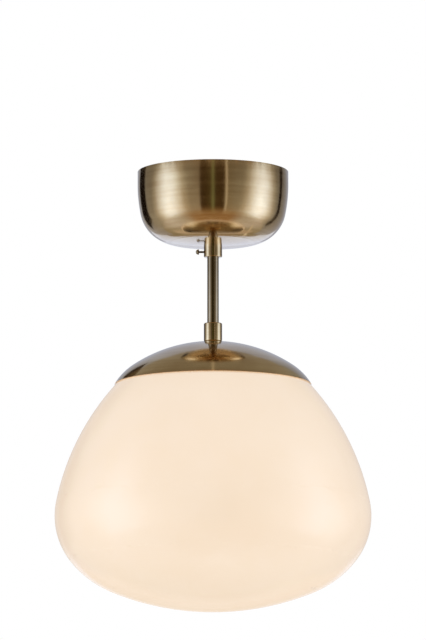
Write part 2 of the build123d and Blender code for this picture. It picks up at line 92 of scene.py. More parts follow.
@dataclass(frozen=True)
class Arc:
    """A round stretch of a half section: its centre, its radius, and its start and end angles."""

    r: float
    z: float
    radius: float
    start: float
    end: float

    @classmethod
    def dome(cls, rim_r: float, crown: float, top: float) -> "Arc":
        """The arc from a rim up to the axis, by the rim's radius, the rise and the height of the top."""
        radius = (rim_r**2 + crown**2) / (2 * crown)
        return cls(0, top - radius, radius, math.degrees(math.acos(rim_r / radius)), 90)

    def at(self, angle: float) -> Point:
        """The point at an angle."""
        turn = math.radians(angle)
        return self.r + self.radius * math.cos(turn), self.z + self.radius * math.sin(turn)

    def then(self, radius: float, end: float) -> "Arc":
        """The arc of that radius that goes on from this one's end along its tangent."""
        centre = replace(self, radius=self.radius - radius).at(self.end)
        return Arc(*centre, radius, self.end, end)

    def until_axis_arc(self, radius: float) -> "Arc":
        """This arc, cut where one of that radius with its centre on the axis goes on from it."""
        return replace(self, end=-math.degrees(math.acos(self.r / (radius - self.radius))))

    def inside(self, wall: float) -> "Arc":
        """The same stretch on the inner side of a wall, drawn back from its end to its start."""
        return replace(self, radius=self.radius - wall, start=self.end, end=self.start)

    def lifted(self, step: float) -> "Arc":
        """The same arc, higher by a step."""
        return replace(self, z=self.z + step)

    def angle_at(self, z: float) -> float:
        """The angle, on the outer side, at which the arc reaches a height."""
        return math.degrees(math.asin((z - self.z) / self.radius))


class Outline:
    """A half section in the XZ plane, drawn with one moving vertex."""

    def __init__(self, *stretches: Arc | Point, longest: float = 2.5) -> None:
        """Draw stretches in order, with a straight line wherever one starts away from the last.

        Args:
            stretches: Points and arcs.
            longest: The longest chord on an arc.
        """
        self.work = bmesh.new()
        self.longest = longest
        self.tip: BMVert | None = None
        for stretch in stretches:
            if isinstance(stretch, Arc):
                self._bend(stretch)
            else:
                self._line(stretch)

    def _line(self, point: Point) -> None:
        """Draw a straight line, or start.

        Args:
            point: Where it ends.
        """
        place = Vector((point[0], 0, point[1]))
        if self.tip is None:
            self.tip = self.work.verts.new(place)
        elif (self.tip.co - place).length > WELD:
            self.tip = bmesh.ops.extrude_vert_indiv(self.work, verts=[self.tip])["verts"][0]
            self.tip.co = place

    def _bend(self, arc: Arc) -> None:
        """Draw an arc.

        Args:
            arc: The arc.
        """
        self._line(arc.at(arc.start))
        sweep = arc.end - arc.start
        length = arc.radius * math.radians(abs(sweep))
        steps = max(1, math.ceil(abs(sweep) / ARC_TURN), math.ceil(length / self.longest))
        turn = {"cent": (arc.r, 0, arc.z), "axis": (0, -1, 0), "angle": math.radians(sweep)}
        made = bmesh.ops.spin(self.work, geom=[self.tip], steps=steps, **turn)
        self.tip = next(part for part in made["geom_last"] if isinstance(part, BMVert))

    def turned(self, steps: int, closed: bool = True) -> BMesh:
        """Turn the section once round the Z axis.

        Args:
            steps: The number of steps round the axis, a multiple of SECTORS.
            closed: Whether the section's end is first joined to its start.

        Returns:
            The turned piece, with its normals outwards.
        """
        if closed:
            self.work.verts.ensure_lookup_table()
            bmesh.ops.contextual_create(self.work, geom=[self.tip, self.work.verts[0]])
        sector = math.tau / SECTORS
        spin_all(self.work, sector, steps // SECTORS)
        spin_all(self.work, sector * (SECTORS - 1), SECTORS - 1, copies=True)
        return cleaned(self.work)


def everything(work: BMesh) -> list[BMVert | BMEdge | BMFace]:
    """All the parts of a mesh."""
    return work.verts[:] + work.edges[:] + work.faces[:]


def open_edges(work: BMesh) -> list[BMEdge]:
    """The edges with a face on one side only."""
    return [edge for edge in work.edges if edge.is_boundary]


def new_verts(made: dict[str, Any]) -> list[BMVert]:
    """The vertices that an extrusion made."""
    return [part for part in made["geom"] if isinstance(part, BMVert)]


def spin_all(work: BMesh, turn: float, steps: int, rise: float = 0.0, copies: bool = False) -> None:
    """Spin a whole mesh round Z by an angle in radians, in steps that may rise or be separate copies."""
    way = {"cent": (0, 0, 0), "axis": (0, 0, 1), "dvec": (0, 0, rise), "angle": turn}
    bmesh.ops.spin(work, geom=everything(work), steps=steps, use_duplicate=copies, **way)


def cleaned(work: BMesh) -> BMesh:
    """Weld a mesh's doubled vertices and turn its normals outwards.

    Args:
        work: The mesh.

    Returns:
        The same mesh.
    """
    bmesh.ops.remove_doubles(work, verts=work.verts, dist=WELD)
    bmesh.ops.recalc_face_normals(work, faces=work.faces)
    return work


def softened(work: BMesh, offset: float, segments: int = 2) -> BMesh:
    """Round a mesh's sharp edges.

    Args:
        work: The mesh.
        offset: How far the rounding reaches from an edge.
        segments: The number of faces across it.

    Returns:
        The same mesh.
    """
    limit = math.radians(SHARP_TURN)
    sharp = [edge for edge in work.edges if edge.is_manifold and edge.calc_face_angle() > limit]
    form = {"offset": offset, "segments": segments, "profile": 0.5, "clamp_overlap": True, "material": -1}
    bmesh.ops.bevel(work, geom=sharp, affect="EDGES", **form)
    return work


def joined(works: Iterable[BMesh]) -> BMesh:
    """Put several meshes into one.

    Args:
        works: The meshes, which are used up.

    Returns:
        The one mesh.
    """
    whole = bmesh.new()
    for work in works:
        passing = bpy.data.meshes.new("passing")
        work.to_mesh(passing)
        work.free()
        whole.from_mesh(passing)
        bpy.data.meshes.remove(passing)
    return whole


def placed(work: BMesh, matrix: Matrix) -> BMesh:
    """Move and turn a mesh, and return it."""
    bmesh.ops.transform(work, matrix=matrix, verts=work.verts)
    return work


def facing_down(x: float, y: float, z: float) -> Matrix:
    """The move that turns a screw's end from +Z to -Z and takes the screw to a place."""
    return Matrix.Translation((x, y, z)) @ Matrix.Rotation(math.pi, 4, "X")


def plain_ring(outer_r: float, inner_r: float, bottom: float, top: float, steps: int) -> BMesh:
    """A ring with plain walls between two heights, or a bar where the inner radius is nought."""
    outline = Outline((inner_r, bottom), (outer_r, bottom), (outer_r, top), (inner_r, top))
    return outline.turned(steps, closed=inner_r > 0)


class ThreadForm(Enum):
    """The section of a screw thread."""

    CUT = "cut"
    ROLLED = "rolled"


@dataclass(frozen=True)
class Thread:
    """A screw thread between two radii. Its shares are shares of the pitch."""

    high_r: float
    low_r: float
    pitch: float
    form: ThreadForm = ThreadForm.CUT
    steps: int = 48
    flat_share: float = 1 / 16
    chord_share: float = 1 / 12
    overrun_share: float = 1.5

    def section(self) -> Outline:
        """One pitch of the thread as an open half section.

        Returns:
            The section, from low over high to low.
        """
        middle = self.pitch / 2
        if self.form is ThreadForm.CUT:
            flat = self.pitch * self.flat_share
            crest = (self.high_r, middle - flat), (self.high_r, middle + flat)
            root = (self.low_r, self.pitch - flat), (self.low_r, self.pitch)
            return Outline((self.low_r, 0), (self.low_r, flat), *crest, *root)
        turn = 2 * math.atan(2 * (self.high_r - self.low_r) / self.pitch)
        radius = self.pitch / 4 / math.sin(turn)
        sweep = math.degrees(turn)
        return Outline(
            Arc(self.low_r + radius, 0, radius, 180, 180 - sweep),
            Arc(self.high_r - radius, middle, radius, -sweep, sweep),
            Arc(self.low_r + radius, self.pitch, radius, 180 + sweep, 180),
            longest=self.pitch * self.chord_share,
        )

    def wall(self, bottom: float, top: float) -> BMesh:
        """The thread's surface, trimmed flat at both ends.

        Args:
            bottom: The height of its lower end.
            top: The height of its upper end.

        Returns:
            The open surface.
        """
        work = self.section().work
        turns = math.ceil((top - bottom) / self.pitch) + 2
        spin_all(work, math.tau, self.steps, self.pitch / self.steps)
        spin_all(work, 0, turns - 1, self.pitch, copies=True)
        bmesh.ops.remove_doubles(work, verts=work.verts, dist=WELD)
        bmesh.ops.translate(work, verts=work.verts, vec=(0, 0, bottom - self.pitch * self.overrun_share))
        for height, side in ((bottom, -1), (top, 1)):
            plane = {"plane_co": (0, 0, height), "plane_no": (0, 0, side)}
            bmesh.ops.bisect_plane(work, geom=everything(work), dist=WELD, clear_outer=True, **plane)
        return work

    def ring(self, plain_r: float, bottom: float, top: float) -> BMesh:
        """A ring with the thread on one side and a plain wall on the other.

        Args:
            plain_r: The plain wall's radius.
            bottom: The height of its lower face.
            top: The height of its upper face.

        Returns:
            The closed ring.
        """
        work = self.wall(bottom, top)
        for vert in new_verts(bmesh.ops.extrude_edge_only(work, edges=open_edges(work))):
            vert.co.xy = vert.co.xy.normalized() * plain_r
        bmesh.ops.remove_doubles(work, verts=work.verts, dist=WELD)
        bmesh.ops.bridge_loops(work, edges=open_edges(work))
        return cleaned(work)

    def ring_for(self, node: str, plain_r: float) -> BMesh:
        """A ring like that, as high as a CAD node."""
        low, high = room(node)
        return self.ring(plain_r, low.z, high.z)

    def rod(self, bottom: float, top: float) -> BMesh:
        """A threaded bar.

        Args:
            bottom: The height of its lower end.
            top: The height of its upper end.

        Returns:
            The closed bar.
        """
        work = self.wall(bottom, top)
        bmesh.ops.holes_fill(work, edges=open_edges(work), sides=0)
        return cleaned(work)


class Drive(Enum):
    """The recess in a screw's head."""

    SLOT = "slot"
    CROSS = "cross"


def recessed(work: BMesh, drive: Drive, width: float, length: float, depth: float) -> BMesh:
    """Sink a recess into the top of a head that points along +Z.

    Args:
        work: The screw's mesh.
        drive: The recess's kind.
        width: The width of its slots.
        length: The length of its slots.
        depth: How deep it goes.

    Returns:
        The same mesh.
    """
    for axis in (Vector((1, 0, 0)), Vector((0, 1, 0))):
        for offset in (-length / 2, -width / 2, width / 2, length / 2):
            upper = [face for face in work.faces if face.normal.z > UPWARD]
            edges = {edge for face in upper for edge in face.edges}
            verts = {vert for face in upper for vert in face.verts}
            parts = [*verts, *edges, *upper]
            bmesh.ops.bisect_plane(work, geom=parts, dist=WELD, plane_co=axis * offset, plane_no=axis)

    def sunk(face: BMFace) -> bool:
        """Whether a face lies over a slot.

        Args:
            face: The face.

        Returns:
            Whether it does.
        """
        middle = face.calc_center_median()
        along = abs(middle.x) < length / 2 and abs(middle.y) < width / 2
        across = abs(middle.y) < length / 2 and abs(middle.x) < width / 2
        return face.normal.z > UPWARD and (along or (drive is Drive.CROSS and across))

    made = bmesh.ops.extrude_face_region(work, geom=[face for face in work.faces if sunk(face)])
    bmesh.ops.translate(work, verts=new_verts(made), vec=(0, 0, -depth))
    return cleaned(work)


@dataclass(frozen=True)
class PanScrew:
    """A screw with a crowned head. Its slots' length is a share of the head's radius."""

    head_r: float
    head_height: float
    thread: Thread
    drive: Drive = Drive.CROSS
    slot_width: float = 0.75
    slot_share: float = 1.2
    edge: float = 0.15
    steps: int = 32

    def build(self, length: float) -> BMesh:
        """The screw with its head above zero and its shank below.

        Args:
            length: The shank's length.

        Returns:
            The screw.
        """
        crown = self.head_height / 2
        dome = Arc.dome(self.head_r, crown, self.head_height)
        head = Outline((0, 0), (self.head_r, 0), dome).turned(self.steps, closed=False)
        recessed(softened(head, self.edge), self.drive, self.slot_width, self.head_r * self.slot_share, crown)
        return joined([head, self.thread.rod(-length, 0)])


def linear(code: str) -> tuple[float, float, float, float]:
    """Turn an sRGB hex colour into the scene's linear colour.

    Args:
        code: The colour as #RRGGBB.

    Returns:
        Red, green, blue and full alpha.
    """
    parts = [int(code[index : index + 2], 16) / 255 for index in (1, 3, 5)]
    linears = [part / 12.92 if part <= 0.04045 else ((part + 0.055) / 1.055) ** 2.4 for part in parts]
    red, green, blue = linears
    return red, green, blue, 1.0


def set_inputs(node: Node, inputs: Inputs) -> None:
    """Set a node's inputs to values or link them.

    Args:
        node: The node.
        inputs: A value or another node's output for each input, by name or by number.
    """
    for key, value in inputs.items():
        if isinstance(value, NodeSocket):
            node.id_data.links.new(value, node.inputs[key])
        else:
            node.inputs[key].default_value = value


def add_node(
    tree: NodeTree, kind: str, inputs: Inputs, out: str | int = 0, stops: Sequence[Stop] = (), **settings: Any
) -> NodeSocket:
    """Add a shader node with its settings, its values and its links.

    Args:
        tree: The node tree.
        kind: The node's type, without the words ShaderNode.
        inputs: A value or another node's output for each input.
        out: The output that is wanted.
        stops: The places and colours along the node's ramp, where it has one.
        settings: The node's own properties.

    Returns:
        That output.
    """
    node = tree.nodes.new(f"ShaderNode{kind}")
    for name, value in settings.items():
        setattr(node, name, value)
    for index, (place, code) in enumerate(stops):
        elements = node.color_ramp.elements
        stop = elements[index] if index < len(elements) else elements.new(place)
        stop.position = place
        stop.color = linear(code)
    set_inputs(node, inputs)
    return node.outputs[out]


def new_material(name: str) -> tuple[Material, NodeTree]:
    """Start a material.

    Args:
        name: Its name.

    Returns:
        The material and its node tree.
    """
    made = bpy.data.materials.new(name)
    made.use_nodes = True
    return made, made.node_tree


def new_piece(work: BMesh, name: str, material: Material) -> Object:
    """Turn a mesh into an object in the scene.

    Args:
        work: The mesh, in metres, which is used up.
        name: The object's name.
        material: Its material.

    Returns:
        The object.
    """
    mesh = bpy.data.meshes.new(name)
    work.to_mesh(mesh)
    work.free()
    mesh.materials.append(material)
    piece = bpy.data.objects.new(name, mesh)
    bpy.context.scene.collection.objects.link(piece)
    return piece


@dataclass(frozen=True)
class Finish:
    """A surface finish: the name of its material and the record's slot that it belongs to."""

    name: str
    slot: str

    def material(self) -> Material:
        """The finish's material, made the first time that it is asked for.

        Returns:
            The material.
        """
        made = bpy.data.materials.get(self.name)
        if made is None:
            made, tree = new_material(self.name)
            set_inputs(tree.nodes[SURFACE], self.surface(tree))
        return made

    def surface(self, tree: NodeTree) -> Inputs:
        """The inputs of the finish's shader, whose pattern nodes are added to the material's tree."""
        raise NotImplementedError


class TurnAxis(Enum):
    """The axis that a piece was turned and brushed about, as a mask."""

    X = (1, 0, 0)
    Z = (0, 0, 1)


@dataclass(frozen=True)
class BrushedMetal(Finish):
    """Metal brushed while it turned: fine lines round its axis that stretch its highlights along it."""

    light: str
    dark: str
    line_spacing: float
    roughness: Pair
    anisotropy: float
    depth: float
    lacquer: float = 0.0
    axis: TurnAxis = TurnAxis.Z
    streaks_per_turn: float = 0.6
    blotch_size: float = 45.0
    # Where a piece is polished towards its foot: the share of roughness left, and the heights of the change
    polish: float = 1.0
    polish_span: Pair = (0.0, 0.0)

    def surface(self, tree: NodeTree) -> Inputs:
        """The inputs of the brushed metal's shader.

        Args:
            tree: The material's node tree.

        Returns:
            A value or an output for each input.
        """
        add = partial(add_node, tree)
        per_line = 1 / (self.line_spacing * MM)
        along = tuple(part * per_line for part in self.axis.value)
        flat = tuple(1 - part for part in self.axis.value)
        place = add("TexCoord", {}, "Object")
        across = add("VectorMath", {0: place, 1: flat}, operation="MULTIPLY")
        radius = add("VectorMath", {0: across}, "Value", operation="LENGTH")
        heading = add("VectorMath", {0: across}, operation="NORMALIZE")
        streak = add("VectorMath", {0: heading, "Scale": self.streaks_per_turn}, operation="SCALE")
        lines = add("VectorMath", {0: place, 1: along, 2: streak}, operation="MULTIPLY_ADD")
        rings = add("Math", {0: radius, 1: per_line}, operation="MULTIPLY")
        grain = {"Vector": lines, "W": rings, "Scale": 1.0, "Detail": 3.0, "Roughness": 0.65}
        brush = add("TexNoise", grain, noise_dimensions="4D")
        patches = {"Vector": place, "Scale": 1 / (self.blotch_size * MM), "Detail": 3.0, "Roughness": 0.55}
        tone = add("Math", {0: brush, 1: add("TexNoise", patches)}, operation="MULTIPLY")
        shade = add("MapRange", {"Value": tone, "From Min": 0.12, "From Max": 0.38})
        tones = {"Factor": shade, MIX_A: linear(self.dark), MIX_B: linear(self.light)}
        low, high = self.roughness
        gloss_range = {"From Min": 0.3, "From Max": 0.7, "To Min": low, "To Max": high}
        gloss = add("MapRange", {"Value": brush, **gloss_range})
        if self.polish < 1:
            foot, top = self.polish_span
            height = add("SeparateXYZ", {0: place}, "Z")
            change = {"From Min": foot * MM, "From Max": top * MM, "To Min": self.polish}
            left = add("MapRange", {"Value": height, **change})
            gloss = add("Math", {0: gloss, 1: left}, operation="MULTIPLY")
        return {
            "Base Color": add("Mix", tones, MIX_OUT, data_type="RGBA"),
            "Metallic": 1.0,
            "Roughness": gloss,
            "Anisotropic": self.anisotropy,
            "Anisotropic Rotation": 0.25,
            "Tangent": add("Tangent", {}, direction_type="RADIAL", axis=self.axis.name),
            "Coat Weight": self.lacquer,
            "Coat Roughness": 0.06,
            "Normal": add("Bump", {"Height": brush, "Strength": 1.0, "Distance": self.depth * MM}),
        }


@dataclass(frozen=True)
class CloudedSurface(Finish):
    """A moulded, fired, cast or blown surface: soft clouds of two close tones and a slight waviness."""

    light: str
    dark: str
    cloud_size: float
    roughness: float
    metallic: float = 0.0
    wave_size: float = 20.0
    wave_depth: float = 0.0
    glaze: float = 0.0
    glow: str = WHITE
    glow_strength: float = 0.0
    softness: float = 0.0
    soft_depth: float = 4.0

    def surface(self, tree: NodeTree) -> Inputs:
        """The inputs of the clouded surface's shader.

        Args:
            tree: The material's node tree.

        Returns:
            A value or an output for each input.
        """
        add = partial(add_node, tree)
        place = add("TexCoord", {}, "Object")
        clouds = {"Vector": place, "Scale": 1 / (self.cloud_size * MM), "Detail": 3.0, "Roughness": 0.5}
        shade = add("MapRange", {"Value": add("TexNoise", clouds), "From Min": 0.3, "From Max": 0.7})
        tones = {"Factor": shade, MIX_A: linear(self.dark), MIX_B: linear(self.light)}
        wave = add("TexNoise", {"Vector": place, "Scale": 1 / (self.wave_size * MM), "Detail": 1.0})
        return {
            "Base Color": add("Mix", tones, MIX_OUT, data_type="RGBA"),
            "Metallic": self.metallic,
            "Roughness": self.roughness,
            "Coat Weight": self.glaze,
            "Coat Roughness": 0.05,
            "Emission Color": linear(self.glow),
            "Emission Strength": self.glow_strength,
            "Subsurface Weight": self.softness,
            "Subsurface Scale": self.soft_depth * MM,
            "Normal": add("Bump", {"Height": wave, "Strength": 1.0, "Distance": self.wave_depth * MM}),
        }


@dataclass(frozen=True)
class LitGlass(CloudedSurface):
    """Opal glass lit from inside.

    Its glow is painted light, an emission that stands in for the lamp inside. It is brighter towards the
    bottom, under the lamp, and fades where the surface mirrors at its rim. The inner side glows less, since
    the light that goes to and fro inside the shade adds to it.
    """

    # The painted glow's colours, from the shade's bottom to its top
    glow_stops: tuple[Stop, ...] = ()
    bottom: float = -492.0
    top: float = -205.0
    refraction: float = 1.5
    rim_share: float = 0.55
    inner_share: float = 0.2

    def surface(self, tree: NodeTree) -> Inputs:
        """The inputs of the lit glass's shader.

        Args:
            tree: The material's node tree.

        Returns:
            A value or an output for each input.
        """
        add = partial(add_node, tree)
        place = add("TexCoord", {}, "Object")
        normal = place.node.outputs["Normal"]
        height = add("SeparateXYZ", {0: place}, "Z")
        share = add("MapRange", {"Value": height, "From Min": self.bottom * MM, "From Max": self.top * MM})
        rim = add("Fresnel", {"IOR": self.refraction})
        dimmest = self.glow_strength * self.rim_share
        strength = add("MapRange", {"Value": rim, "To Min": self.glow_strength, "To Max": dimmest})
        middle = (0, 0, (self.bottom + self.top) / 2 * MM)
        outwards = add("VectorMath", {0: place, 1: middle}, operation="SUBTRACT")
        facing = add("VectorMath", {0: outwards, 1: normal}, "Value", operation="DOT_PRODUCT")
        side = add("MapRange", {"Value": facing, "From Min": -MM, "From Max": MM, "To Min": self.inner_share})
        return {
            **super().surface(tree),
            "Emission Color": add("ValToRGB", {"Fac": share}, stops=self.glow_stops),
            "Emission Strength": add("Math", {0: strength, 1: side}, operation="MULTIPLY"),
        }


# Spun brass, patinated, brushed on the lathe and lacquered. The real lines are finer than the picture can
# show, so they are drawn coarser.
ANTIQUE_BRASS = BrushedMetal(
    "antique_brass_brushed", "antique_brass", light="#E2CA9E", dark="#C6A779", line_spacing=6.0,
    roughness=(0.17, 0.25), anisotropy=0.97, depth=0.003, lacquer=1.0,
    polish=0.65, polish_span=(-72.0, -62.0),
)
# The same brass on the dome cap, which was polished a little finer.
ANTIQUE_BRASS_CAP = replace(
    ANTIQUE_BRASS, name="antique_brass_cap", roughness=(0.1, 0.15), anisotropy=0.85, polish=1.0
)
# The turned collars, drawn a little darker than the canopy: painted shade for the darker reflections that
# they show.
ANTIQUE_BRASS_COLLAR = replace(
    ANTIQUE_BRASS, name="antique_brass_collar", light="#D5BC90", dark="#C2A77B", line_spacing=3.0,
    roughness=(0.1, 0.15), anisotropy=0.9, polish=1.0,
)
# The drawn stem tube, darker still: painted shade for its darker reflections.
ANTIQUE_BRASS_TUBE = replace(ANTIQUE_BRASS_COLLAR, name="antique_brass_tube", light="#8F7B5B", dark="#7F6B4B")
# The thumb screw, turned about its own axis, drawn dark: painted shade for its darker reflections.
ANTIQUE_BRASS_SCREW = replace(
    ANTIQUE_BRASS_COLLAR, name="antique_brass_screw", light="#94825F", dark="#7A6848", axis=TurnAxis.X,
    line_spacing=1.0, roughness=(0.08, 0.12), anisotropy=0.3, depth=0.0005,
)
# Pressed and turned steel with a clear passivated zinc plate.
ZINC_STEEL = CloudedSurface(
    "zinc_plated_steel", "zinc_steel", light="#C6C8CA", dark="#A9ACB0", cloud_size=6.0, roughness=0.32,
    metallic=1.0, wave_size=3.0, wave_depth=0.01,
)
# Bare drawn brass of the contacts and terminals.
PLAIN_BRASS = CloudedSurface(
    "drawn_brass", "plain_brass", light="#D9B45E", dark="#C09A48", cloud_size=5.0, roughness=0.28,
    metallic=1.0, wave_size=2.0, wave_depth=0.008,
)
# Warm white glass, cased and blown in a mould. Its glow is painted light from the lamp inside, brighter
# towards the bottom.
OPAL_GLASS = LitGlass(
    "opal_glass_lit", "opal_glass", light="#F7EEDF", dark="#F4E9D8", cloud_size=60.0, roughness=0.22,
    wave_size=55.0, wave_depth=0.12, glow_strength=0.452,
    glow_stops=((0.0, "#FFDBB2"), (0.3, "#FFDAB0"), (1.0, "#F2CFA8")),
)
# Moulded polyamide of the terminal block.
WHITE_POLYAMIDE = CloudedSurface(
    "moulded_polyamide", "white_polyamide", light="#EDEBE4", dark="#E2DFD6", cloud_size=5.0, roughness=0.45,
    wave_size=1.5, wave_depth=0.01, softness=0.1,
)
# Moulded white housing of the lamp.
WHITE_PLASTIC = CloudedSurface(
    "moulded_lamp_housing", "white_plastic", light="#F2F1EE", dark="#EAE9E5", cloud_size=12.0, roughness=0.38,
    wave_size=1.2, wave_depth=0.008,
)
# The lamp's blown plastic diffuser, lit from inside.
MILKY_PLASTIC = CloudedSurface(
    "milky_diffuser_lit", "milky_plastic", light="#EFE6D2", dark="#EADFC8", cloud_size=20.0, roughness=0.5,
    glow="#FFE6C0", glow_strength=0.35,
)
# Compression moulded black phenolic of the lampholder.
BLACK_PHENOLIC = CloudedSurface(
    "moulded_phenolic", "black_phenolic", light="#23211F", dark="#1A1816", cloud_size=8.0, roughness=0.3,
    wave_size=4.0, wave_depth=0.02,
)
# Glazed ceramic disc inside the lampholder.
GLAZED_CERAMIC = CloudedSurface(
    "glazed_ceramic_disc", "glazed_ceramic", light="#EFEBE2", dark="#E6E0D3", cloud_size=6.0, roughness=0.5,
    wave_size=4.0, wave_depth=0.02, glaze=0.8,
)
# Rolled aluminium sheet of the lamp's shell and of the shade's screw ring.
ROLLED_ALUMINIUM = BrushedMetal(
    "rolled_aluminium", "bare_aluminium", light="#DCDDDE", dark="#C4C6C8", line_spacing=0.6,
    roughness=(0.24, 0.34), anisotropy=0.4, depth=0.003,
)
# Cast silicone of the gasket.
SILICONE = CloudedSurface(
    "cast_silicone", "silicone", light="#D8D6D0", dark="#CBC8C1", cloud_size=6.0, roughness=0.6,
    wave_size=2.0, wave_depth=0.02, softness=0.15,
)

# The threads of the two nipples and of the small screws
NIPPLE_THREAD = Thread(4.95, 4.4, 1.0)
SCREW_THREAD = Thread(1.45, 1.15, 0.6, steps=24)


@dataclass
class Assembly:
    """A group of pieces that ride on one CAD body."""

    body: str

    def build(self) -> None:
        """Make and dress the group's pieces."""
        raise NotImplementedError

    def add(self, work: BMesh, name: str, finish: Finish, *nodes: str, body: str | None = None) -> None:
        """Finish a mesh as a piece that stands for CAD nodes.

        Args:
            work: The mesh in millimetres, which is used up.
            name: The piece's name.
            finish: Its finish.
            nodes: The CAD nodes that it stands for.
            body: The CAD body that it rides on, where that isn't the group's.
        """
        bmesh.ops.scale(work, vec=(MM, MM, MM), verts=work.verts)
        piece = new_piece(work, name, finish.material())
        piece.data.shade_smooth()
        piece.data.set_sharp_from_angle(angle=math.radians(SHARP_TURN))
        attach(piece, body or self.body)
        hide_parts(*nodes)
        faces = len(piece.data.polygons)
        log.info("%s on %s: %d faces, %s", name, body or self.body, faces, finish.name)

    def dress(self, finish: Finish, *nodes: str) -> None:
        """Give CAD nodes, whose shape stays, their finish.

        Args:
            finish: The finish.
            nodes: The nodes.
        """
        for node in nodes:
            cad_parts[node].data.materials[0] = finish.material()
            log.info("%s: CAD shape, %s", node, finish.name)


@dataclass
class BracketAssembly(Assembly):
    """The strap on the ceiling with its nut and washers, the terminal block and the earth screw."""

    nipple_thread: Thread = NIPPLE_THREAD
    nipple_bore_r: float = 3.75
    block_screw: PanScrew = PanScrew(2.7, 2.0, SCREW_THREAD)
    earth_screw: PanScrew = PanScrew(3.6, 2.6, Thread(1.95, 1.6, 0.7, steps=24))
    grub_r: float = 1.45
    grub_edge: float = 0.12
    grub_steps: int = 24
    # The width, length and depth of the grub screws' slots
    grub_slot: tuple[float, float, float] = (0.6, 2.32, 0.725)

    def build(self) -> None:
        """Make the nipple and the screws, and dress the rest."""
        self.dress(ZINC_STEEL, "ceiling_bracket", "stem_washer", "tooth_washer", "bracket_nut")
        self.dress(WHITE_POLYAMIDE, "terminal_block")
        self.dress(PLAIN_BRASS, "terminal_sleeves", "earth_washer")
        nipple = self.nipple_thread.ring_for("upper_nipple", self.nipple_bore_r)
        self.add(nipple, "nipple_at_ceiling", ZINC_STEEL, "upper_nipple")
        self._grub_screws()
        self._pan_screw(self.block_screw, "block_fixing_screw", ZINC_STEEL, "block_screw")
        self._pan_screw(self.earth_screw, "earth_terminal_screw", PLAIN_BRASS, "earth_screw")

    def _grub_screws(self) -> None:
        """Make the six grub screws, slotted on their lower ends."""
        low, high = room("terminal_screws")
        radius = self.grub_r
        screws = []
        for x in (low.x + radius, high.x - radius):
            for y in (low.y + radius, (low.y + high.y) / 2, high.y - radius):
                screw = plain_ring(radius, 0, 0, high.z - low.z, self.grub_steps)
                recessed(softened(screw, self.grub_edge), Drive.SLOT, *self.grub_slot)
                screws.append(placed(screw, facing_down(x, y, high.z)))
        self.add(joined(screws), "terminal_grub_screws", ZINC_STEEL, "terminal_screws")

    def _pan_screw(self, screw: PanScrew, name: str, finish: Finish, node: str) -> None:
        """Make a screw whose head faces down.

        Args:
            screw: The screw.
            name: The piece's name.
            finish: Its finish.
            node: The CAD node that it stands for.
        """
        low, high = room(node)
        seat = low.z + screw.head_height
        place = facing_down((low.x + high.x) / 2, (low.y + high.y) / 2, seat)
        self.add(placed(screw.build(high.z - seat), place), name, finish, node)


@dataclass
class CanopyAssembly(Assembly):
    """The spun canopy and the collar under it that slides on the stem."""

    sheet: float = 1.0
    flank_radius: float = 167.0
    flank_turn: float = 11.7
    corner_radius: float = 40.0
    floor_radius: float = 320.0
    land_r: float = 10.45
    hole_r: float = 6.7
    edge: float = 0.3
    steps: int = 224
    chord: float = 1.6

    def arcs(self, radius: float, land: float) -> tuple[Arc, Arc, Arc]:
        """The outer arcs of the cup.

        Args:
            radius: The cup's radius.
            land: The height of the flat round the stem.

        Returns:
            The flank, the corner and the floor.
        """
        flank = Arc(radius - self.flank_radius, 0, self.flank_radius, 0, -self.flank_turn)
        corner = flank.then(self.corner_radius, -90).until_axis_arc(self.floor_radius)
        floor = corner.then(self.floor_radius, -math.degrees(math.acos(self.land_r / self.floor_radius)))
        lift = land - floor.at(floor.end)[1]
        return flank.lifted(lift), corner.lifted(lift), floor.lifted(lift)

    def build(self) -> None:
        """Make the cup and dress the collar."""
        low, high = room("canopy")
        flank, corner, floor = self.arcs(high.x, low.z)
        inner_land = low.z + self.sheet
        rim = (high.x - self.sheet, high.z), (high.x, high.z)
        hole = (self.hole_r, low.z), (self.hole_r, inner_land)
        inner_floor, inner_corner, inner_flank = [arc.inside(self.sheet) for arc in (floor, corner, flank)]
        inner_floor = replace(inner_floor, start=inner_floor.angle_at(inner_land))
        inner = inner_floor, inner_corner, inner_flank
        cup = Outline(*rim, flank, corner, floor, *hole, *inner, longest=self.chord).turned(self.steps)
        self.add(softened(cup, self.edge), "canopy_cup", ANTIQUE_BRASS, "canopy")
        self.dress(ANTIQUE_BRASS_COLLAR, "canopy_collar")


@dataclass
class ClampScrewAssembly(Assembly):
    """The thumb screw through the canopy's collar, which points along -X."""

    thread: Thread = Thread(1.3, 1.05, 0.5, steps=24)
    head_r: float = 2.95
    head_length: float = 3.6
    head_rim: float = 1.2
    edge: float = 0.25
    steps: int = 48

    def build(self) -> None:
        """Make the screw along +Z and lay it along -X."""
        low, high = room("clamp_screw")
        tip = -high.x
        end = -low.x
        head = end - self.head_length
        dome = Arc.dome(self.head_r, self.head_length - self.head_rim, end)
        button = Outline((0, head), (self.head_r, head), dome).turned(self.steps, closed=False)
        screw = joined([softened(button, self.edge), self.thread.rod(tip, head)])
        place = Matrix.Translation((0, 0, (low.z + high.z) / 2)) @ Matrix.Rotation(-math.pi / 2, 4, "Y")
        self.add(placed(screw, place), "thumb_screw", ANTIQUE_BRASS_SCREW, "clamp_screw")


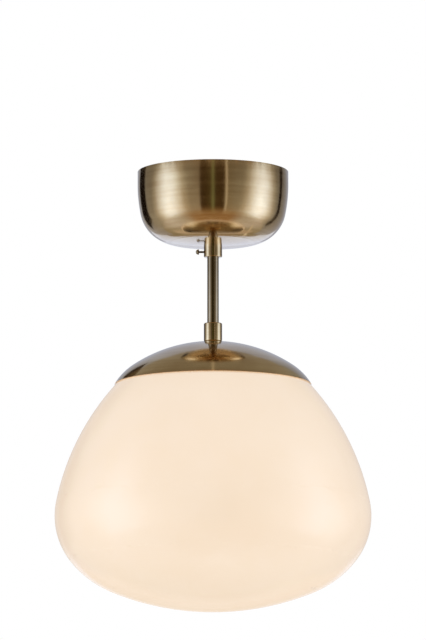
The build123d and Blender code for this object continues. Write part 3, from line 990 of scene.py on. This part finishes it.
@dataclass
class StemAssembly(Assembly):
    """The stem and the fixed collar at its foot."""

    bore_r: float = 5.0
    socket_r: float = 6.55
    socket_floor: float = -186.0
    collar_top_round: float = 1.2
    collar_foot_round: float = 3.2
    edge: float = 0.2
    steps: int = 96

    def build(self) -> None:
        """Make the tube and the collar."""
        low, high = room("stem_tube")
        tube = softened(plain_ring(high.x, self.bore_r, low.z, high.z, self.steps), self.edge)
        self.add(tube, "stem_turned", ANTIQUE_BRASS_TUBE, "stem_tube")
        low, high = room("lower_collar")
        foot = self.collar_foot_round
        top = self.collar_top_round
        collar = Outline(
            (self.bore_r, low.z),
            Arc(high.x - foot, low.z + foot, foot, -90, 0),
            Arc(high.x - top, high.z - top, top, 0, 90),
            (self.socket_r, high.z),
            (self.socket_r, self.socket_floor),
            (self.bore_r, self.socket_floor),
        ).turned(self.steps)
        self.add(softened(collar, self.edge), "collar_at_cap", ANTIQUE_BRASS_COLLAR, "lower_collar")


@dataclass
class CapAssembly(Assembly):
    """The dome cap and the fitter under it that carries the shade."""

    sheet: float = 1.0
    crown_radius: float = 161.0
    crown_turn: float = 55.8
    edge_radius: float = 64.0
    land_r: float = 10.45
    hole_r: float = 5.25
    edge: float = 0.15
    steps: int = 240
    chord: float = 1.6
    fitter_sheet: float = 1.5
    fitter_thread: Thread = Thread(42.55, 41.65, 4.0, ThreadForm.ROLLED, 96)
    nipple_thread: Thread = NIPPLE_THREAD
    nipple_bore_r: float = 3.75

    def build(self) -> None:
        """Make the cap, the fitter and the nipple, and dress the rest."""
        self._cap()
        self._fitter()
        nipple = self.nipple_thread.ring_for("lower_nipple", self.nipple_bore_r)
        self.add(nipple, "nipple_at_cap", ZINC_STEEL, "lower_nipple")
        self.dress(ZINC_STEEL, "cap_spacer", "fitter_washer", "fitter_nut")

    def _cap(self) -> None:
        """Make the spun dome."""
        low, high = room("shade_cap")
        centre = high.z - math.sqrt(self.crown_radius**2 - self.land_r**2)
        start = math.degrees(math.acos(self.land_r / self.crown_radius))
        crown = Arc(0, centre, self.crown_radius, start, self.crown_turn)
        rim = crown.then(self.edge_radius, 0)
        rim = replace(rim, end=rim.angle_at(low.z))
        inner_rim = rim.inside(self.sheet)
        inner_crown = crown.inside(self.sheet)
        under = high.z - self.sheet
        dome = Outline(
            (self.hole_r, high.z),
            crown,
            rim,
            replace(inner_rim, start=inner_rim.angle_at(low.z)),
            replace(inner_crown, end=inner_crown.angle_at(under)),
            (self.hole_r, under),
            longest=self.chord,
        ).turned(self.steps)
        self.add(softened(dome, self.edge), "dome_cap", ANTIQUE_BRASS_CAP, "shade_cap")

    def _fitter(self) -> None:
        """Make the fitter: a plate and a skirt with a rolled thread inside."""
        low, high = room("shade_fitter")
        under = high.z - self.fitter_sheet
        plate = plain_ring(high.x, self.hole_r, under, high.z, self.fitter_thread.steps)
        skirt = self.fitter_thread.ring(high.x, low.z, under + self.fitter_sheet / 2)
        fitter = joined([softened(plate, self.edge), skirt])
        self.add(fitter, "fitter_with_thread", ZINC_STEEL, "shade_fitter")


@dataclass
class ShadeAssembly(Assembly):
    """The opal glass shade, the screw ring on its neck and the gasket above it."""

    wall: float = 3.5
    bend_radius: float = 45.0
    flank_radius: float = 276.0
    flank_turn: float = 11.3
    belly_radius: float = 79.0
    belly_turn: float = 38.8
    shoulder_radius: float = 111.0
    floor_radius: float = 298.0
    neck_r: float = 40.0
    neck_fillet: float = 4.0
    flank_top_angle: float = 43.17
    steps: int = 240
    chord: float = 4.0
    lip_edge: float = 0.8
    ring_sheet: float = 1.2
    ring_lip: float = 3.0
    ring_thread: Thread = Thread(41.35, 40.6, 4.0, ThreadForm.ROLLED, 96)
    ring_bore_r: float = 40.15
    ring_edge: float = 0.25
    gasket_width: float = 5.0
    gasket_edge: float = 0.6

    def arcs(self, radius: float, bottom: float) -> tuple[Arc, ...]:
        """The outer arcs of the glass.

        Args:
            radius: The shade's radius.
            bottom: The height of its lowest point.

        Returns:
            The bend at the neck, the flank, the belly, the shoulder and the floor.
        """
        step = self.flank_radius - self.belly_radius
        centre_r = radius - self.belly_radius - step * math.cos(math.radians(self.flank_turn))
        flank = Arc(centre_r, 0, self.flank_radius, self.flank_top_angle, self.flank_turn)
        belly = flank.then(self.belly_radius, -self.belly_turn)
        shoulder = belly.then(self.shoulder_radius, -90).until_axis_arc(self.floor_radius)
        floor = shoulder.then(self.floor_radius, -90)
        back = replace(flank, end=self.flank_top_angle).then(self.bend_radius, 90)
        bend = replace(back, start=90, end=self.flank_top_angle)
        lift = bottom - floor.at(-90)[1]
        return tuple(arc.lifted(lift) for arc in (bend, flank, belly, shoulder, floor))

    def build(self) -> None:
        """Make the glass, the screw ring and the gasket."""
        low, high = room("glass_shade")
        arcs = self.arcs(high.x, low.z)
        seat = arcs[0].at(90)[1]
        fillet = Arc(self.neck_r + self.neck_fillet, seat + self.neck_fillet, self.neck_fillet, 180, 270)
        shade = Outline(
            (self.neck_r - self.wall, high.z),
            (self.neck_r, high.z),
            fillet,
            *arcs,
            *[arc.inside(self.wall) for arc in reversed(arcs)],
            replace(fillet, radius=self.neck_fillet + self.wall, start=270, end=180),
            (self.neck_r - self.wall, high.z),
            longest=self.chord,
        ).turned(self.steps, closed=False)
        self.add(softened(shade, self.lip_edge, segments=3), "opal_shade", OPAL_GLASS, "glass_shade")
        self._ring()
        low, high = room("shade_gasket")
        gasket = plain_ring(high.x, high.x - self.gasket_width, low.z, high.z, self.ring_thread.steps)
        softened(gasket, self.gasket_edge, segments=3)
        self.add(gasket, "shade_seal_ring", SILICONE, "shade_gasket", body="shade_seal")

    def _ring(self) -> None:
        """Make the screw ring: a rolled thread and a lip over the neck's end."""
        top = room("neck_ring")[1].z
        inner_r = self.neck_r - self.ring_lip
        lip = plain_ring(self.ring_bore_r, inner_r, top - self.ring_sheet, top, self.ring_thread.steps)
        thread = self.ring_thread.ring_for("neck_ring", self.ring_bore_r)
        ring = joined([softened(lip, self.ring_edge), thread])
        self.add(ring, "neck_screw_ring", ROLLED_ALUMINIUM, "neck_ring")


@dataclass
class LampholderAssembly(Assembly):
    """The lampholder: a ribbed cap, a tapered body, a screw sleeve and its contacts."""

    boss_r: float = 9.0
    bore_r: float = 18.0
    wall: float = 2.0
    thread_hole_r: float = 5.0
    boss_height: float = 5.0
    shoulder_height: float = 9.0
    grip: float = 8.0
    band: float = 6.0
    taper: float = 1.4
    spigot_r: float = 17.85
    socket_r: float = 16.5
    mouth_r: float = 14.5
    ledge_depth: float = 6.0
    cap_edge: float = 0.6
    body_edge: float = 0.25
    body_steps: int = 96
    rib_count: int = 72
    rib_depth: float = 0.5
    rib_margin: float = 0.12
    # How near a face of the ribbed skirt is to upright and to the cap's radius
    skirt_slope: float = 0.01
    skirt_depth: float = 0.1
    sleeve_sheet: float = 0.8
    sleeve_thread: Thread = Thread(13.95, 13.4, 3.6, ThreadForm.ROLLED, 64)
    sleeve_r: float = 14.2
    flange_overlap: float = 0.1
    flange_edge: float = 0.2
    screw: PanScrew = PanScrew(2.4, 2.5, SCREW_THREAD)

    def build(self) -> None:
        """Make the cap, the body, the sleeve and the screws, and dress the rest."""
        self._cap()
        self._body()
        self._sleeve()
        self._screws()
        self.dress(GLAZED_CERAMIC, "lampholder_core")
        self.dress(PLAIN_BRASS, "lampholder_leaf")

    def _cap(self) -> None:
        """Make the cap and press grip grooves into its skirt."""
        low, high = room("lampholder_cap")
        shoulder = high.z - self.boss_height
        skirt = shoulder - self.shoulder_height
        inner_shoulder = min(shoulder - self.wall, high.z - self.grip)
        cap = Outline(
            (self.thread_hole_r, high.z),
            (self.boss_r, high.z),
            (self.boss_r, shoulder),
            (high.x, skirt),
            (high.x, low.z),
            (self.bore_r, low.z),
            (self.bore_r, skirt - self.wall / 2),
            (self.boss_r, inner_shoulder),
            (self.thread_hole_r, inner_shoulder),
        ).turned(self.rib_count * 2)
        softened(cap, self.cap_edge, segments=3)
        cap.faces.ensure_lookup_table()
        band = [face for face in cap.faces if self._on_skirt(face, high.x)]
        band.sort(key=lambda face: math.atan2(face.calc_center_median().y, face.calc_center_median().x))
        bmesh.ops.inset_individual(cap, faces=band[::2], thickness=self.rib_margin, depth=-self.rib_depth)
        self.add(cap, "holder_cap_ribbed", BLACK_PHENOLIC, "lampholder_cap")

    def _on_skirt(self, face: BMFace, radius: float) -> bool:
        """Whether a face is on the outside of the straight skirt of a cap with that radius."""
        reach = face.calc_center_median().xy.length
        return abs(face.normal.z) < self.skirt_slope and reach > radius - self.skirt_depth

    def _body(self) -> None:
        """Make the body: a spigot in the cap, a banded rim and a tapered skirt."""
        low, high = room("lampholder_body")
        seam = room("lampholder_cap")[0].z
        ledge = seam - self.ledge_depth
        body = Outline(
            (self.socket_r, high.z),
            (self.spigot_r, high.z),
            (self.spigot_r, seam),
            (high.x, seam),
            (high.x, seam - self.band),
            (high.x - self.taper / 2, seam - self.band),
            (high.x - self.taper, low.z),
            (self.mouth_r, low.z),
            (self.mouth_r, ledge),
            (self.socket_r, ledge),
        ).turned(self.body_steps)
        self.add(softened(body, self.body_edge), "holder_body_moulded", BLACK_PHENOLIC, "lampholder_body")

    def _sleeve(self) -> None:
        """Make the screw sleeve: a rolled thread and a flange."""
        high = room("lampholder_sleeve")[1]
        inner_r = self.sleeve_r - self.flange_overlap
        flange = plain_ring(high.x, inner_r, high.z - self.sleeve_sheet, high.z, self.sleeve_thread.steps)
        thread = self.sleeve_thread.ring_for("lampholder_sleeve", self.sleeve_r)
        sleeve = joined([softened(flange, self.flange_edge), thread])
        self.add(sleeve, "holder_screw_sleeve", PLAIN_BRASS, "lampholder_sleeve")

    def _screws(self) -> None:
        """Make the two terminal screws on the core."""
        low, high = room("lampholder_screws")
        seat = high.z - self.screw.head_height
        spread = high.x - self.screw.head_r
        places = [Matrix.Translation((x, 0, seat)) for x in (-spread, spread)]
        pair = joined(placed(self.screw.build(seat - low.z), place) for place in places)
        self.add(pair, "holder_terminal_screws", ZINC_STEEL, "lampholder_screws")


@dataclass
class LampAssembly(Assembly):
    """The screw lamp: a contact, an insulator, a rolled shell, a housing and a diffuser."""

    shell_thread: Thread = Thread(13.1, 12.1, 3.6, ThreadForm.ROLLED, 64)
    shell_bore_r: float = 11.7
    contact_steps: int = 48
    insulator_inset: float = 1.0
    plug_r: float = 11.5
    collar_height: float = 3.0
    bulb_wall: float = 1.5
    bulb_edge: float = 0.15
    seam_height: float = 8.0
    steps: int = 96
    edge: float = 0.25

    def build(self) -> None:
        """Make the lamp's pieces."""
        self._base()
        low, high = room("lamp_diffuser")
        turn = math.degrees(math.asin(self.seam_height / high.x))
        ball = Arc(0, low.z + high.x, high.x, -90, turn)
        inner = ball.inside(self.bulb_wall)
        bulb = Outline(ball, replace(inner, start=inner.angle_at(high.z))).turned(self.steps, closed=False)
        self.add(softened(bulb, self.bulb_edge), "lamp_diffuser_ball", MILKY_PLASTIC, "lamp_diffuser")
        self._housing(ball, high.z)

    def _base(self) -> None:
        """Make the contact, the insulator and the screw shell."""
        low, high = room("lamp_contact")
        tip_r = high.x
        dome = Arc.dome(tip_r, high.z - low.z, high.z)
        button = Outline((0, low.z), dome).turned(self.contact_steps, closed=False)
        self.add(button, "lamp_contact_button", PLAIN_BRASS, "lamp_contact")
        low, high = room("lamp_insulator")
        foot_r = high.x - self.insulator_inset
        cone = Outline((0, low.z), (foot_r, low.z), (tip_r, high.z), (0, high.z))
        insulator = softened(cone.turned(self.shell_thread.steps, closed=False), self.edge)
        self.add(insulator, "lamp_insulator_cone", BLACK_PHENOLIC, "lamp_insulator")
        shell = self.shell_thread.ring_for("lamp_shell", self.shell_bore_r)
        self.add(shell, "lamp_screw_shell", ROLLED_ALUMINIUM, "lamp_shell")

    def _housing(self, ball: Arc, seam: float) -> None:
        """Make the housing, whose flare leaves the ball along its tangent and ends at the collar.

        Args:
            ball: The diffuser's outer arc.
            seam: The height of the seam between the two.
        """
        top = room("lamp_housing")[1].z
        collar_r = self.shell_thread.high_r
        collar_top = room("lamp_shell")[0].z
        collar_foot = Vector((collar_r, collar_top - self.collar_height))
        start = Vector(ball.at(ball.end))
        outward = Vector((math.cos(math.radians(ball.end)), math.sin(math.radians(ball.end))))
        chord = collar_foot - start
        radius = chord.length_squared / (2 * chord.dot(outward))
        centre = start + outward * radius
        first = math.degrees(math.atan2(-outward.y, -outward.x))
        toward = collar_foot - centre
        last = math.degrees(math.atan2(toward.y, toward.x))
        if radius < 0:
            first += 180
        turn = (last - first + 180) % 360 - 180
        housing = Outline(
            (0, seam),
            Arc(centre.x, centre.y, abs(radius), first, first + turn),
            (collar_r, collar_top),
            (self.plug_r, collar_top),
            (self.plug_r, top),
            (0, top),
        ).turned(self.steps, closed=False)
        self.add(softened(housing, self.edge), "lamp_housing_moulded", WHITE_PLASTIC, "lamp_housing")


@dataclass(frozen=True)
class Strip:
    """A plain card bent round the stem's axis: its two angles, its two heights, its colour and its radius."""

    first: float
    last: float
    low: float
    high: float
    tone: str
    radius: float = 2.9


@dataclass
class Studio:
    """The camera, the white background, the floor, two softboxes and the cards that only mirrors see.

    Lengths here are metres, and angles go round the stem's axis from the camera's side.
    """

    camera_place: Vector = field(default_factory=lambda: Vector((0, -7.4244, -1.3232)))
    camera_aim: Vector = field(default_factory=lambda: Vector((0, 0, -0.1673)))
    lens: float = 380.8
    sensor_width: float = 36.0
    farthest: float = 200.0
    # How much the background and the floor glow as lights and to the eye
    background_glow: Pair = (0.5, 1.0)
    floor_glow: Pair = (0.08, 0.3)
    floor_height: float = -2.4
    floor_half: float = 45.0
    floor_tone: str = "#F1F3F6"
    card_radius: float = 3.0
    card_bottom: float = -2.3
    card_top: float = 3.6
    card_steps: int = 128
    card_tone_heights: Pair = (-1.2, 0.45)
    back_card_bottom: float = -0.45
    paper_half: float = 20.0
    paper_span: Pair = (4.1, 40.0)
    paper_tone: str = "#E3EBFF"
    floor_card_r: float = 0.3
    floor_card_strength: float = 1.3
    # A pale strip on the floor that draws a thin straight line on the canopy's foot: its route in X and Y
    streak_route: tuple[Point, ...] = ((0.6, 3.4), (0.8, 2.34), (1.08, 1.63), (1.36, 1.2), (1.68, 0.83))
    streak_width: float = 0.1
    streak_height: float = -2.29
    streak_tone: str = "#E2D6BE"
    overhead_height: float = 1.6
    overhead_half: Pair = (3.0, 2.3)
    overhead_middle: float = -0.7
    overhead_gap: float = 0.04
    overhead_gap_strength: float = 1.8
    # Its tones from its front edge to its back edge
    overhead_stops: tuple[Stop, ...] = (
        (0.0, "#9E8972"), (0.41, "#9E8972"), (0.52, "#857E70"), (1.0, "#908879")
    )
    softbox_distance: float = 2.7
    softbox_height: float = 1.2
    softbox_size: Pair = (1.2, 1.8)
    softbox_power: float = 17.0
    softbox_tint: str = "#D6E4FF"
    softbox_angles: Pair = (-74.0, 81.0)
    # The softboxes as the brass mirrors them: the slope of their middle, their reach and their tones outwards
    glow_slope: float = -13.0
    glow_reach: Pair = (39.0, 82.0)
    # They narrow by this share from their middle up to this slope
    glow_pinch: float = 1.17
    glow_top: float = 12.0
    glow_peak: float = 2.35
    glow_stops: tuple[Stop, ...] = (
        (0.0, "#C2D8FF"), (0.25, "#B1C5E9"), (0.5, "#8F99AA"), (0.75, "#555452"), (1.0, BLACK)
    )
    # They draw the dark lines at the brass's sides, the pale line along the canopy's foot and the warm foot
    # of the glass
    strips: tuple[Strip, ...] = (
        Strip(-150.0, -127.0, -1.0, 0.98, "#120A06"),
        Strip(-153.0, -143.5, 1.1, 2.2, "#33261A"),
        Strip(-143.5, -130.0, 1.1, 2.2, "#54452F"),
        Strip(122.5, 131.0, -1.9, 0.62, "#1C110C"),
        Strip(124.0, 135.0, 0.62, 0.98, "#1C110C"),
        Strip(130.0, 147.0, 1.2, 2.4, "#8C877A"),
        Strip(174.0, 186.0, -0.45, 0.22, "#D2D6E4"),
        Strip(140.0, 220.0, -0.76, -0.51, "#C8B8A4", 0.45),
    )
    # The wall as the brass mirrors it, by the angle: dark flags with a gap between them, and grey sides. The
    # first tone is the wall's foot and the second its upper part.
    bands: tuple[tuple[float, str, str], ...] = (
        (-180.0, "#A6A4AB", "#B4B8C6"),
        (-131.0, "#A19D94", "#807D77"),
        (-95.0, "#B1AEA6", "#807D77"),
        (-55.0, "#BAB7AC", "#88857D"),
        (-21.0, "#ABA294", "#7D766B"),
        (-19.5, "#37270F", "#37270F"),
        (-12.0, "#3A2C14", "#3A2C14"),
        (-3.0, "#4C4226", "#4C4226"),
        (-1.6, "#757A55", "#757A55"),
        (1.6, "#757A55", "#757A55"),
        (3.0, "#3D3018", "#3D3018"),
        (17.0, "#37270E", "#37270E"),
        (19.4, "#6A5A3C", "#6A5A3C"),
        (20.0, "#EAE2D2", "#EAE2D2"),
        (21.4, "#EAE2D2", "#EAE2D2"),
        (22.0, "#948974", "#6B6353"),
        (55.0, "#B5B1A5", "#827F76"),
        (95.0, "#BAB6AD", "#88857D"),
        (131.0, "#9B9893", "#706D69"),
        (180.0, "#A6A4AB", "#B4B8C6"),
    )
    # The floor as the brass mirrors it, by the angle to either side, brightest in the softboxes' light
    floor_bands: tuple[Stop, ...] = (
        (45.0, "#8F6F4C"),
        (73.0, "#AFADA9"),
        (110.0, "#B5AFAE"),
        (140.0, "#958D7B"),
        (165.0, "#857A62"),
        (180.0, "#857154"),
    )

    def build(self) -> None:
        """Set up the whole studio."""
        self._world()
        self._floor()
        self._bent_cards()
        self._streak()
        self._overhead()
        for angle in self.softbox_angles:
            self._softbox(angle)
        self._camera()
        bpy.context.scene.view_settings.view_transform = "Standard"

    def _strength(self, tree: NodeTree, dim: float, bright: float) -> NodeSocket:
        """A bright strength for camera, mirror and glass rays, and a dim one for the others.

        Args:
            tree: The node tree.
            dim: The dim strength.
            bright: The bright strength.

        Returns:
            The output with the strength.
        """
        camera = add_node(tree, "LightPath", {}, "Is Camera Ray")
        path = camera.node.outputs
        either = add_node(tree, "Math", {0: camera, 1: path["Is Glossy Ray"]}, operation="MAXIMUM")
        seen = add_node(tree, "Math", {0: either, 1: path["Is Transmission Ray"]}, operation="MAXIMUM")
        return add_node(tree, "MapRange", {"Value": seen, "To Min": dim, "To Max": bright})

    def _world(self) -> None:
        """Make the background white to the eye and dimmer as a light."""
        world = bpy.data.worlds.new("studio")
        world.use_nodes = True
        tree = world.node_tree
        strength = self._strength(tree, *self.background_glow)
        set_inputs(tree.nodes["Background"], {"Color": linear(WHITE), "Strength": strength})
        bpy.context.scene.world = world

    def _stage(self, work: BMesh, name: str, material: Material, seen: bool = False) -> None:
        """Add a piece of the studio.

        Args:
            work: Its mesh.
            name: Its name.
            material: Its material.
            seen: Whether all rays see it. Where they don't, it is a card that only mirror rays see.
        """
        piece = new_piece(work, name, material)
        piece.visible_camera = seen
        piece.visible_diffuse = seen
        piece.visible_transmission = seen
        piece.visible_shadow = seen
        log.info("%s: studio", name)

    def _floor(self) -> None:
        """Lay the pale floor, which glows a little, so that it stays pale, and is clear from below."""
        work = bmesh.new()
        bmesh.ops.create_grid(work, x_segments=1, y_segments=1, size=self.floor_half)
        bmesh.ops.translate(work, verts=work.verts, vec=(0, 0, self.floor_height))
        made, tree = new_material("studio_floor")
        surface = tree.nodes[SURFACE]
        glow = {"Emission Color": linear(WHITE), "Emission Strength": self._strength(tree, *self.floor_glow)}
        matt = {"Base Color": linear(self.floor_tone), "Roughness": 0.9, "Specular IOR Level": 0.1}
        set_inputs(surface, {**matt, **glow})
        below = add_node(tree, "NewGeometry", {}, "Backfacing")
        clear = add_node(tree, "BsdfTransparent", {})
        sided = add_node(tree, "MixShader", {0: below, 1: surface.outputs["BSDF"], 2: clear})
        set_inputs(tree.nodes["Material Output"], {"Surface": sided})
        self._stage(work, "studio_floor", made, seen=True)

    def _glow(self, name: str, tone: str = WHITE) -> Material:
        """Start the material of a card, which shines and has no gloss.

        Args:
            name: The material's name.
            tone: Its colour, where it is plain.

        Returns:
            The material.
        """
        made, tree = new_material(name)
        shine = {"Emission Color": linear(tone), "Emission Strength": 1.0}
        set_inputs(tree.nodes[SURFACE], {"Base Color": linear(BLACK), "Specular IOR Level": 0.0, **shine})
        return made

    def _bent_card(self, name: str, glow: Material, first: float, last: float, *ends: Point) -> None:
        """Add a card that is bent round the stem's axis.

        Args:
            name: Its name.
            glow: Its material.
            first: Its first angle.
            last: Its last angle.
            ends: The two ends of its half section.
        """
        work = Outline(*ends).work
        start = Matrix.Rotation(math.radians(first - 90), 3, "Z")
        bmesh.ops.rotate(work, verts=work.verts, matrix=start)
        spin_all(work, math.radians(last - first), self.card_steps)
        self._stage(work, name, glow)

    def _bent_cards(self) -> None:
        """Add the bent cards: walls that leave the paper behind the object free, floors and strips."""
        side = 180 - self.paper_half
        back = 180 + self.paper_half
        bottom = self.card_bottom
        near, far = self.paper_span
        outer = (self.card_radius, bottom)
        inner = (self.floor_card_r, bottom)
        top = (self.card_radius, self.card_top)
        wall = self._glow("studio_wall")
        self._paint_wall(wall.node_tree)
        self._bent_card("studio_wall", wall, -side, side, top, outer)
        self._bent_card("studio_back_wall", wall, side, back, top, (self.card_radius, self.back_card_bottom))
        floor = self._glow("studio_floor_card")
        tree = floor.node_tree
        mirrored = [(-angle, tone) for angle, tone in reversed(self.floor_bands)]
        colour = self._tone_by_turn(tree, [*mirrored, *self.floor_bands])
        shine = {"Emission Color": colour, "Emission Strength": self.floor_card_strength}
        set_inputs(tree.nodes[SURFACE], shine)
        self._bent_card("studio_floor_card", floor, -side, side, outer, inner)
        self._bent_card("studio_back_floor", floor, side, back, (near, bottom), inner)
        paper = self._glow("studio_paper", self.paper_tone)
        self._bent_card("studio_paper", paper, side, back, (far, bottom), (near, bottom))
        for index, strip in enumerate(self.strips):
            name = f"studio_strip_{index}"
            ends = ((strip.radius, strip.high), (strip.radius, strip.low))
            self._bent_card(name, self._glow(name, strip.tone), strip.first, strip.last, *ends)

    def _turn(self, tree: NodeTree) -> NodeSocket:
        """The angle round the stem's axis, in radians.

        Args:
            tree: The node tree.

        Returns:
            The output with that angle.
        """
        place = add_node(tree, "TexCoord", {}, "Object")
        y = add_node(tree, "SeparateXYZ", {0: place}, "Y")
        front = add_node(tree, "Math", {0: y, 1: -1.0}, operation="MULTIPLY")
        return add_node(tree, "Math", {0: y.node.outputs["X"], 1: front}, operation="ARCTAN2")

    def _tone_by_turn(self, tree: NodeTree, bands: Iterable[Stop]) -> NodeSocket:
        """Colours that go by the angle round the stem's axis.

        Args:
            tree: The node tree.
            bands: The angles and their colours.

        Returns:
            The output with the colour.
        """
        turn = {"Value": self._turn(tree), "From Min": -math.pi, "From Max": math.pi}
        stops = [((angle + 180) / 360, tone) for angle, tone in bands]
        return add_node(tree, "ValToRGB", {"Fac": add_node(tree, "MapRange", turn)}, stops=stops)

    def _paint_wall(self, tree: NodeTree) -> None:
        """Paint the wall's bands and the soft glow of the two softboxes.

        Args:
            tree: The wall material's node tree.
        """
        add = partial(add_node, tree)
        height = add("SeparateXYZ", {0: add("TexCoord", {}, "Object")}, "Z")
        low, high = self.card_tone_heights
        tones = {
            "Factor": add("MapRange", {"Value": height, "From Min": low, "From Max": high}),
            MIX_A: self._tone_by_turn(tree, [(angle, foot) for angle, foot, _ in self.bands]),
            MIX_B: self._tone_by_turn(tree, [(angle, upper) for angle, _, upper in self.bands]),
        }
        light = add("Mix", tones, MIX_OUT, data_type="RGBA")
        wide, tall = [math.radians(angle) for angle in self.glow_reach]
        middle = math.radians(self.glow_slope)
        slope = add("Math", {0: height, 1: self.card_radius}, operation="ARCTAN2")
        across = add("Math", {0: self._turn(tree), 1: wide}, operation="DIVIDE")
        up = add("Math", {0: slope, 1: tall}, operation="DIVIDE")
        spot = add("CombineXYZ", {"X": across, "Y": up})
        narrowing = {"From Min": middle, "From Max": math.radians(self.glow_top), "To Max": self.glow_pinch}
        pinch = add("MapRange", {"Value": slope, "To Min": 1.0, **narrowing})
        for angle in self.softbox_angles:
            centre = (math.radians(angle) / wide, middle / tall, 0)
            away = add("VectorMath", {0: spot, 1: centre}, "Value", operation="DISTANCE")
            share = add("Math", {0: away, 1: pinch}, operation="MULTIPLY")
            glow = add("ValToRGB", {"Fac": share}, stops=self.glow_stops)
            peak = (self.glow_peak,) * 3
            light = add("VectorMath", {0: glow, 1: peak, 2: light}, operation="MULTIPLY_ADD")
        set_inputs(tree.nodes[SURFACE], {"Emission Color": light})

    def _streak(self) -> None:
        """Lay the pale strip on the floor."""
        work = Outline(*self.streak_route).work
        side = new_verts(bmesh.ops.extrude_edge_only(work, edges=work.edges[:]))
        bmesh.ops.translate(work, verts=side, vec=(-self.streak_width, 0, 0))
        flat = Matrix.Rotation(-math.pi / 2, 4, "X")
        place = Matrix.Translation((self.streak_width / 2, 0, self.streak_height))
        glow = self._glow("studio_streak", self.streak_tone)
        self._stage(placed(work, place @ flat), "studio_streak", glow)

    def _overhead(self) -> None:
        """Hang the grey card overhead that gives the cap its tone, with a pale gap along its middle."""
        middle = self.overhead_middle
        half = self.overhead_half
        gap = self.overhead_gap
        work = bmesh.new()
        bmesh.ops.create_grid(work, x_segments=1, y_segments=1, size=1.0)
        bmesh.ops.scale(work, vec=(*half, 1.0), verts=work.verts)
        bmesh.ops.translate(work, verts=work.verts, vec=(0, middle, self.overhead_height))
        card = self._glow("studio_overhead")
        tree = card.node_tree
        add = partial(add_node, tree)
        y = add("SeparateXYZ", {0: add("TexCoord", {}, "Object")}, "Y")
        share = add("MapRange", {"Value": y, "From Min": middle - half[1], "From Max": middle + half[1]})
        aside = add("Math", {0: y.node.outputs["X"]}, operation="ABSOLUTE")
        pale = {"From Min": gap, "From Max": gap / 2, "To Min": 1.0, "To Max": self.overhead_gap_strength}
        shine = {
            "Emission Color": add("ValToRGB", {"Fac": share}, stops=self.overhead_stops),
            "Emission Strength": add("MapRange", {"Value": aside, **pale}),
        }
        set_inputs(tree.nodes[SURFACE], shine)
        self._stage(work, "studio_overhead", card)

    def _aimed(self, name: str, data: ID, place: Vector) -> Object:
        """Add a light or a camera that looks at the object.

        Args:
            name: Its name.
            data: The light or the camera.
            place: Where it stands.

        Returns:
            The added object.
        """
        thing = bpy.data.objects.new(name, data)
        thing.location = place
        thing.rotation_euler = (self.camera_aim - place).to_track_quat("-Z", "Y").to_euler()
        bpy.context.scene.collection.objects.link(thing)
        return thing

    def _softbox(self, angle: float) -> None:
        """Stand a softbox, which lights what isn't a mirror.

        Args:
            angle: Its angle.
        """
        light = bpy.data.lights.new("softbox", "AREA")
        light.shape = "RECTANGLE"
        light.size, light.size_y = self.softbox_size
        light.energy = self.softbox_power
        light.color = linear(self.softbox_tint)[:3]
        turn = math.radians(angle)
        place = Vector((math.sin(turn), -math.cos(turn), 0)) * self.softbox_distance
        place.z = self.softbox_height
        box = self._aimed("softbox", light, place)
        box.visible_camera = False
        box.visible_glossy = False
        log.info("softbox at %.0f degrees", angle)

    def _camera(self) -> None:
        """Place the camera a little below the shade, far away, as the photo was taken."""
        data = bpy.data.cameras.new("camera")
        data.sensor_width = self.sensor_width
        data.lens = self.lens
        data.clip_end = self.farthest
        bpy.context.scene.camera = self._aimed("camera", data, self.camera_place)


def main() -> None:
    """Build the ceiling light and its studio."""
    logging.basicConfig(level=logging.INFO, format="%(message)s")
    assemblies: list[Assembly] = [
        BracketAssembly("fixture"),
        CanopyAssembly("canopy"),
        ClampScrewAssembly("clamp_screw"),
        StemAssembly("fixture"),
        CapAssembly("fixture"),
        ShadeAssembly("shade"),
        LampholderAssembly("fixture"),
        LampAssembly("lamp"),
    ]
    for assembly in assemblies:
        assembly.build()
    Studio().build()


if __name__ == "__main__":
    main()
